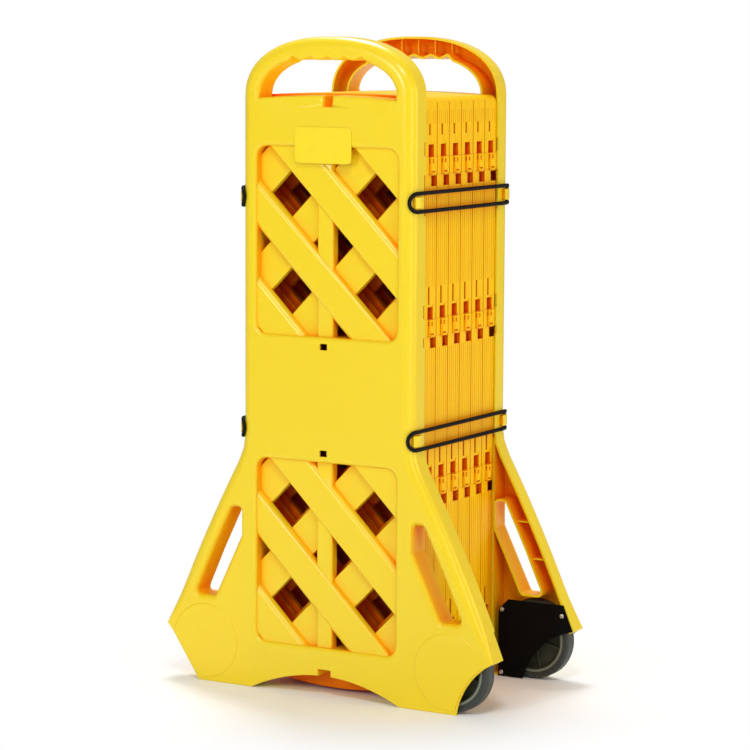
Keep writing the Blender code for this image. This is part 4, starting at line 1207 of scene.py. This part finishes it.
def panel_outline():
    """The outer edge of an inner panel, with a crowned top and a bowed bottom."""
    half = HINGE_X
    bottom, top = [], []
    for n in range(PANEL_END_STEPS + 1):
        share = 2 * n / PANEL_END_STEPS - 1
        x = share * (half - PANEL_CORNER)
        bottom.append((x, PANEL_BOTTOM + PANEL_BOTTOM_RISE * share ** 2))
        top.append((-x, PANEL_TOP - PANEL_TOP_RISE * share ** 2))
    low = PANEL_BOTTOM + PANEL_BOTTOM_RISE
    high = PANEL_TOP - PANEL_TOP_RISE
    corner = PANEL_CORNER
    steps = PANEL_CORNER_STEPS
    right_low = arc((half - corner, low + corner), corner, -90, 0, steps)[1:]
    right_high = arc((half - corner, high - corner), corner, 0, 90, steps)[:-1]
    left_high = arc((corner - half, high - corner), corner, 90, 180, steps)[1:]
    left_low = arc((corner - half, low + corner), corner, 180, 270, steps)[:-1]
    return bottom + right_low + right_high + top + left_high + left_low


def panel_blank():
    """An inner panel without hinges: slats that lean one way in front and the other way behind."""
    half = PANEL_THICKNESS / 2
    panel = soft_plate(panel_outline(), PANEL_ROUND, 0, PANEL_THICKNESS)
    for lean, front, back in ((1, -OVERRUN, half + GAP), (-1, half - GAP, PANEL_THICKNESS + OVERRUN)):
        strips = []
        for centre in WINDOW_CENTRES:
            strips += lattice_strips(lean, centre, window(centre), True)
        combine(panel, slab(strips, front, back), "DIFFERENCE")
    return panel


def side_box(side, depth, proud, front, back, bottom, top, edge=0.0):
    """A box on a panel's side face, from a depth inside it to a step proud of it."""
    return box(*sided(side, HINGE_X - depth, HINGE_X + proud), front, back, bottom, top, edge)


def lug_plates(side, front, back):
    """The flat pads on the side face beside each knuckle."""
    half = KNUCKLE_LENGTH / 2
    return [side_box(side, 2 * LUG_PROUD, LUG_PROUD, front, back, level - half, level + half, LUG_EDGE)
            for level in HINGE_LEVELS]


def side_grooves(side, shares):
    """Fine grooves down a panel's side face between the hinges, at shares of its thickness."""
    grooves = []
    starts = [PANEL_BOTTOM + PANEL_BOTTOM_RISE + PANEL_CORNER] + [level + SLIT_HIGH for level in HINGE_LEVELS]
    ends = [level + SQUARE_LOW - GROOVE_WIDTH for level in HINGE_LEVELS] + [PANEL_TOP - 2 * PANEL_CORNER]
    for start, end in zip(starts, ends):
        if end - start > PANEL_CORNER:
            for y in [PANEL_THICKNESS * share for share in shares]:
                grooves.append(side_box(side, GROOVE_DEPTH, OVERRUN, y - GROOVE_WIDTH / 2,
                                        y + GROOVE_WIDTH / 2, start, end))
    return grooves


def recess_floor(level):
    """The height at which the recess above a knuckle starts."""
    return level + KNUCKLE_LENGTH / 2 + KNUCKLE_CLEARANCE


def panel_cuts(near_side):
    """Grooves, the recess and the square hole beside each knuckle, and the slit beside each pocket."""
    far_side = -near_side
    cuts = side_grooves(near_side, NEAR_GROOVES) + side_grooves(far_side, FAR_GROOVES)
    for n, level in enumerate(HINGE_LEVELS):
        low = recess_floor(level)
        cuts.append(side_box(near_side, RECESS_DEPTH, OVERRUN, HINGE_FRONT - OVERRUN,
                             HINGE_FRONT + RECESS_REACH, low, low + RECESS_HEIGHT))
        cuts.append(side_box(near_side, SQUARE_DEPTH, OVERRUN, HINGE_FRONT + SQUARE_START,
                             PANEL_THICKNESS + OVERRUN, level + SQUARE_LOW, level + SQUARE_HIGH))
        slit_low = SLIT_LOW_SHORT if n == len(HINGE_LEVELS) - 1 else SLIT_LOW
        middle = HINGE_BACK - SLIT_OFFSET
        cuts.append(side_box(far_side, SLIT_DEPTH, OVERRUN, middle - SLIT_WIDTH / 2,
                             middle + SLIT_WIDTH / 2, level + slit_low, level + SLIT_HIGH))
    return cuts


def panel_seams(near_side):
    """The dark lines along a panel's edges, where it meets its neighbours."""
    bottom, top = PANEL_BOTTOM + 2 * PANEL_CORNER, PANEL_TOP - PANEL_CORNER
    back_edge = (near_side, SEAM_DEPTH, OVERRUN, PANEL_THICKNESS - SEAM_WIDTH, PANEL_THICKNESS + OVERRUN)
    front_edge = (-near_side, SEAM_DEPTH, OVERRUN, -OVERRUN, SEAM_WIDTH)
    return [side_box(*edge, bottom, top) for edge in (back_edge, front_edge)]


def panel_pads(near_side):
    """The pads beside the knuckles and the pockets, and the border of each recess."""
    pads = lug_plates(near_side, HINGE_FRONT + KNUCKLE_RADIUS, PANEL_THICKNESS - PANEL_ROUND)
    pads += lug_plates(-near_side, PANEL_ROUND, HINGE_BACK - KNUCKLE_RADIUS)
    start = HINGE_FRONT + RECESS_REACH
    for level in HINGE_LEVELS:
        low = recess_floor(level)
        pads.append(side_box(near_side, 2 * LUG_PROUD, LUG_PROUD, start, start + BORDER_WIDTH, low + GAP,
                             low + RECESS_HEIGHT + BORDER_WIDTH, LUG_EDGE))
    return pads


def hinged_panel(near_side):
    """An inner panel: knuckles in front on the side where it hangs, pockets behind on the other."""
    panel = panel_blank()
    cut(panel, panel_cuts(near_side))
    cut(panel, panel_seams(near_side))
    fuse(panel, panel_pads(near_side))
    cut(panel, [hinge_pocket(-near_side, HINGE_BACK, level) for level in HINGE_LEVELS])
    return fuse(panel, [knuckle(near_side, HINGE_FRONT, level) for level in HINGE_LEVELS])


# Wheels and their covers, in the end panel's frame

def wheel_ring(profile):
    """A profile of (radius, depth) and its mirror image, turned round the wheel's axle."""
    far = [(radius, WHEEL_WIDTH - depth) for radius, depth in reversed(profile)]
    return turned(profile + far, WHEEL_SEGMENTS, (WHEEL_X, WHEEL_Z), WHEEL_FRONT)


def tyre_solid():
    """The tyre: rounded tread, shallow side walls and a raised bead where it meets the hub."""
    inner = WHEEL_RADIUS - TYRE_THICKNESS
    profile = [(inner + out, depth) for out, depth in TYRE_PROFILE]
    for k in range(TYRE_STEPS + 1):
        turn = k / TYRE_STEPS * pi / 2
        profile.append((WHEEL_RADIUS - TYRE_ROUND * (1 - sin(turn)), TYRE_ROUND * (1 - cos(turn))))
    return wheel_ring(profile)


def hub_solid():
    """The wheel's disc, with a rounded rim, a dished web, a ring of spokes and a bored boss."""
    outer = WHEEL_RADIUS - TYRE_THICKNESS - GAP
    half = WHEEL_WIDTH / 2
    hub = wheel_ring(HUB_BOSS + [(outer - reach, depth) for reach, depth in HUB_RIM])
    spokes = []
    for n in range(SPOKES):
        spoke = box(SPOKE_START, outer - SPOKE_MARGIN, SPOKE_SETBACK - half, half - SPOKE_SETBACK,
                    -SPOKE_HALF_WIDTH, SPOKE_HALF_WIDTH, SPOKE_EDGE)
        turn = Matrix.Rotation(radians(360 / SPOKES * n + SPOKE_TURN_DEGREES), 4, "Y")
        spoke.data.transform(Matrix.Translation((WHEEL_X, WHEEL_FRONT + half, WHEEL_Z)) @ turn)
        spokes.append(spoke)
    return fuse(hub, spokes)


def cover_solid():
    """The flat plate over the wheel, scooped like the leg so that the wheel shows."""
    outline = [(COVER_LEFT, COVER_MARGIN)]
    outline += scoop((COVER_FOOT, COVER_MARGIN), (HALF_BASE - COVER_MARGIN, ARM_TIP))
    outline += [(arm_edge(COVER_TOP) - COVER_MARGIN, COVER_TOP), (COVER_LEFT + COVER_CUT, COVER_TOP),
                (COVER_LEFT, COVER_TOP - COVER_CUT)]
    cover = soft_plate(outline, COVER_EDGE, COVER_FRONT, COVER_BACK)
    return fuse(cover, [turned(WASHER_RIM, SCREW_SIDES, place, COVER_BACK)
                        for place in screw_places()])


def screw_solid(place):
    """One of the cover's screws: a low domed head with a cross recess."""
    back = COVER_BACK + GAP
    profile = [(0, back - SCREW_SINK), (SCREW_HEAD_RADIUS, back - SCREW_SINK)]
    for k in range(SCREW_STEPS + 1):
        turn = k / SCREW_STEPS * pi / 2
        profile.append((SCREW_HEAD_RADIUS * cos(turn),
                        back + SCREW_FLAT + (SCREW_HEAD_HEIGHT - SCREW_FLAT) * sin(turn)))
    screw = turned(profile, SCREW_SIDES, place, 0)
    x, z = place
    deep, high = back + SCREW_HEAD_HEIGHT - CROSS_DEPTH, back + 2 * SCREW_HEAD_HEIGHT
    for wide, tall in ((CROSS_REACH, CROSS_HALF_WIDTH), (CROSS_HALF_WIDTH, CROSS_REACH)):
        combine(screw, box(x - wide, x + wide, deep, high, z - tall, z + tall), "DIFFERENCE")
    return screw


# Elastic loops

def loop_tube(level):
    """An elastic loop along the right side of the folded stack, hooked over a tab at each end."""
    radius = ROUND_BODY + CORD_RADIUS + GAP
    side = HALF_BODY + CORD_RADIUS + GAP
    reach = radians(LOOP_REACH_DEGREES)
    corner = Vector((HALF_BODY - ROUND_BODY, -DEPTH / 2 + ROUND_BODY))
    bend = radius * reach
    middle = bend - corner.y

    def on_body(distance):
        if distance > middle:
            x, y = on_body(2 * middle - distance)
            return x, -y
        if distance < bend:
            a = distance / radius - reach
            return (corner.x + radius * cos(a), corner.y + radius * sin(a))
        return (side, corner.y + distance - bend)

    turn = arc((LOOP_HALF_HEIGHT, 0), LOOP_HALF_HEIGHT, 90, 270, LOOP_STEPS)
    run = middle - LOOP_HALF_HEIGHT
    straight = [LOOP_HALF_HEIGHT + run * n / LOOP_STEPS for n in range(1, LOOP_STEPS + 1)]
    upper = [(d, LOOP_HALF_HEIGHT) for d in reversed(straight)]
    lower = [(d, -LOOP_HALF_HEIGHT) for d in straight[:-1]]
    half = upper + turn + lower
    whole = half + [(2 * middle - d, -h) for d, h in half]
    curve = bpy.data.curves.new("loop", "CURVE")
    curve.dimensions = "3D"
    curve.bevel_depth = CORD_RADIUS
    curve.bevel_resolution = CORD_STEPS
    add_loop(curve, [(*on_body(distance), level + height) for distance, height in whole])
    tube = add_object(curve)
    mesh = evaluated_mesh(tube)
    bpy.data.objects.remove(tube)
    return face_outward(add_object(mesh))


def name_plate():
    """The blank raised plate on an end panel."""
    half, tall = PLATE_WIDTH / 2, PLATE_HEIGHT / 2
    corners = rectangle(PLATE_OFFSET - half, PLATE_OFFSET + half, PLATE_CENTRE - tall, PLATE_CENTRE + tall)
    outline = rounded(corners, PLATE_RADIUS)
    return soft_slab(outline, [PLATE_EDGE] * len(outline), -GAP - PLATE_THICKNESS, -GAP)


# Assembly

# The third colour of each plastic is the painted shade that its hollows take.
shell_yellow = moulded_plastic("shell_yellow", (0.86, 0.64, 0.010), (0.86, 0.63, 0.009), (1.0, 0.26, 0.001),
                               roughness=0.3, shine=0.35, coat=0.3, glow=0.12, alone=True)
# The panels' yellow is a more orange copy of the shell's yellow: painted shade on the folded stack.
panel_yellow = moulded_plastic("panel_yellow", (0.97, 0.57, 0.003), (0.97, 0.55, 0.002), (0.75, 0.03, 0.001),
                               roughness=0.36, shine=0.15, coat=0.0, glow=0.2, alone=False)
plate_yellow = moulded_plastic("plate_yellow", (0.90, 0.69, 0.014), (0.90, 0.68, 0.012), (0.95, 0.40, 0.001),
                               roughness=0.26, shine=0.4, coat=0.3, glow=0.0, alone=True)
cord_black = braided("cord_black", (0.0015, 0.0015, 0.0015), (0.006, 0.006, 0.006))
tyre_grey = rubber("tyre_grey", (0.028, 0.035, 0.033), (0.042, 0.050, 0.048))
# The hub's lighter rim colour is a painted highlight and its olive tint a painted reflection.
hub_olive = rimmed_hub("hub_olive", (0.030, 0.034, 0.018), (0.17, 0.20, 0.15))
cover_black = black_plastic("cover_black", (0.0016, 0.0016, 0.0016), (0.003, 0.003, 0.003), 0.6)
steel = bright_steel("steel")

plain_shell = dip_deck(end_shell())
shells = [hinged_shell(plain_shell, knuckled) for knuckled in (False, True)]
bpy.data.objects.remove(plain_shell)
parts = [(cover_solid(), "cover", cover_black, "%s_end", "cover", "wheel_cover_"),
         (name_plate(), "blank_plate", plate_yellow, "%s_end", "plate", "name_plate_")]
for number, place in enumerate(screw_places(), 1):
    node = "cover_screw_%d_" % number
    parts.append((screw_solid(place), "screw_%d" % number, steel, "%s_end", "steel", node))
parts.append((tyre_solid(), "tyre", tyre_grey, "wheel_%s", "tyre", "wheel_tyre_"))
parts.append((hub_solid(), "hub", hub_olive, "wheel_%s", "hub", "wheel_hub_"))
for end, shell in zip(("front", "rear"), shells):
    rear = end == "rear"
    piece(to_end(shell, rear), "moulded_shell_" + end, shell_yellow, end + "_end", ["shell_" + end])
    for solid, name, material, body, slot, node in parts:
        piece(to_end(solid, rear), "%s_%s" % (name, end), material, body % end, [node + end])
for solid in shells + [part[0] for part in parts]:
    bpy.data.objects.remove(solid)

right_hung = hinged_panel(1)
patterns = [right_hung, reflected(right_hung, "X")]
for number in range(1, PANEL_COUNT + 1):
    node = "inner_panel_%02d" % number
    front = -DEPTH / 2 + SHELL_DEPTH + GAP + (number - 1) * (PANEL_THICKNESS + GAP)
    panel = add_object(patterns[number % 2].data.copy())
    panel.data.transform(Matrix.Translation((0, front, 0)))
    piece(panel, "lattice_panel_%02d" % number, panel_yellow, "panel_%02d" % number, [node])
for pattern in patterns:
    bpy.data.objects.remove(pattern)

for height, level in LOOP_LEVELS.items():
    right = loop_tube(level)
    for side, loop in (("right", right), ("left", reflected(right, "X"))):
        name = "elastic_%s_%s" % (height, side)
        node = "elastic_loop_%s_%s" % (height, side)
        cord = piece(loop, name, cord_black, "front_end", [node], CORD_SMOOTH_DEGREES)
        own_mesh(cord)

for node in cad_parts.values():
    if not node.hide_render:
        node.data.materials.clear()
        node.data.materials.append(steel)


# Stage, lights and camera

def make_floor():
    """A pale floor that keeps the object's shadow and turns plain white further out."""
    bm = bmesh.new()
    bmesh.ops.create_grid(bm, x_segments=8, y_segments=8, size=FLOOR_SIZE)
    floor = mesh_object(bm)
    floor.name = "floor"
    material, tree, shader, place = new_material("floor_white")
    dress(shader, {"Base Color": (FLOOR_ALBEDO,) * 3, "Roughness": 0.9, "Specular IOR Level": 0.1})
    length = add_node(tree, "ShaderNodeVectorMath", place, operation="LENGTH").outputs["Value"]
    far = ranged(tree, length, 0, 1, WHITE_START, WHITE_END)
    camera_ray = add_node(tree, "ShaderNodeLightPath").outputs["Is Camera Ray"]
    factor = add_node(tree, "ShaderNodeMath", far, camera_ray, operation="MULTIPLY").outputs["Value"]
    glow = add_node(tree, "ShaderNodeEmission", (1, 1, 1), 1.0).outputs["Emission"]
    mix = add_node(tree, "ShaderNodeMixShader", factor, shader.outputs["BSDF"], glow)
    feed(tree.nodes["Material Output"].inputs["Surface"], mix.outputs["Shader"])
    floor.data.materials.append(material)


def make_world():
    """An even pale surround that the camera sees as white."""
    world = bpy.data.worlds.new("studio")
    bpy.context.scene.world = world
    world.use_nodes = True
    tree = world.node_tree
    dim = tree.nodes["Background"]
    dress(dim, {"Color": (1, 1, 1), "Strength": SURROUND})
    white = add_node(tree, "ShaderNodeBackground", (1, 1, 1), 1.0)
    camera_ray = add_node(tree, "ShaderNodeLightPath").outputs["Is Camera Ray"]
    mix = add_node(tree, "ShaderNodeMixShader", camera_ray, dim.outputs["Background"],
                   white.outputs["Background"])
    feed(tree.nodes["World Output"].inputs["Surface"], mix.outputs["Shader"])


def add_light(name, place, aim, size, watts, height=None, tint=(1, 1, 1)):
    """A soft rectangular lamp."""
    lamp = bpy.data.lights.new(name, "AREA")
    lamp.shape = "RECTANGLE"
    lamp.size = size
    lamp.size_y = height or size
    lamp.energy = watts
    lamp.color = tint
    obj = bpy.data.objects.new(name, lamp)
    obj.location = place
    obj.rotation_euler = (Vector(aim) - Vector(place)).to_track_quat("-Z", "Y").to_euler()
    bpy.context.scene.collection.objects.link(obj)


def make_camera():
    """The photograph's viewpoint."""
    azimuth, elevation, roll = (radians(d) for d in (CAMERA_AZIMUTH, CAMERA_ELEVATION, CAMERA_ROLL))
    back = Vector((sin(azimuth) * cos(elevation), -cos(azimuth) * cos(elevation), sin(elevation)))
    right = (-back).cross(Vector((0, 0, 1))).normalized()
    up = right.cross(-back)
    side = cos(roll) * right + sin(roll) * up
    top = -sin(roll) * right + cos(roll) * up
    data = bpy.data.cameras.new("camera")
    data.sensor_width = SENSOR
    data.lens = CAMERA_FOCAL_PIXELS / IMAGE_PIXELS * SENSOR
    camera = bpy.data.objects.new("camera", data)
    turn = Matrix((side, top, back)).transposed().to_4x4()
    camera.matrix_world = Matrix.Translation(CAMERA_PLACE) @ turn
    bpy.context.scene.collection.objects.link(camera)
    bpy.context.scene.camera = camera


make_floor()
make_world()
add_light("key", (-0.6, -3.7, 1.7), MIDDLE, size=1.2, watts=41)
add_light("strip", (2.7, -1.5, 0.9), MIDDLE, size=0.35, watts=14, height=1.8, tint=(1.0, 0.9, 0.7))
add_light("side", (3.3, 0.9, 1.1), MIDDLE, size=1.0, watts=25, height=1.6, tint=(1.0, 0.84, 0.55))
add_light("upper", (1.3, -2.2, 3.2), (0, 0, 0.6), size=0.7, watts=34)
add_light("top", (-0.7, 0.9, 3.0), (0, 0, 0.4), size=0.9, watts=52)
make_camera()
bpy.context.scene.view_settings.view_transform = "Standard"
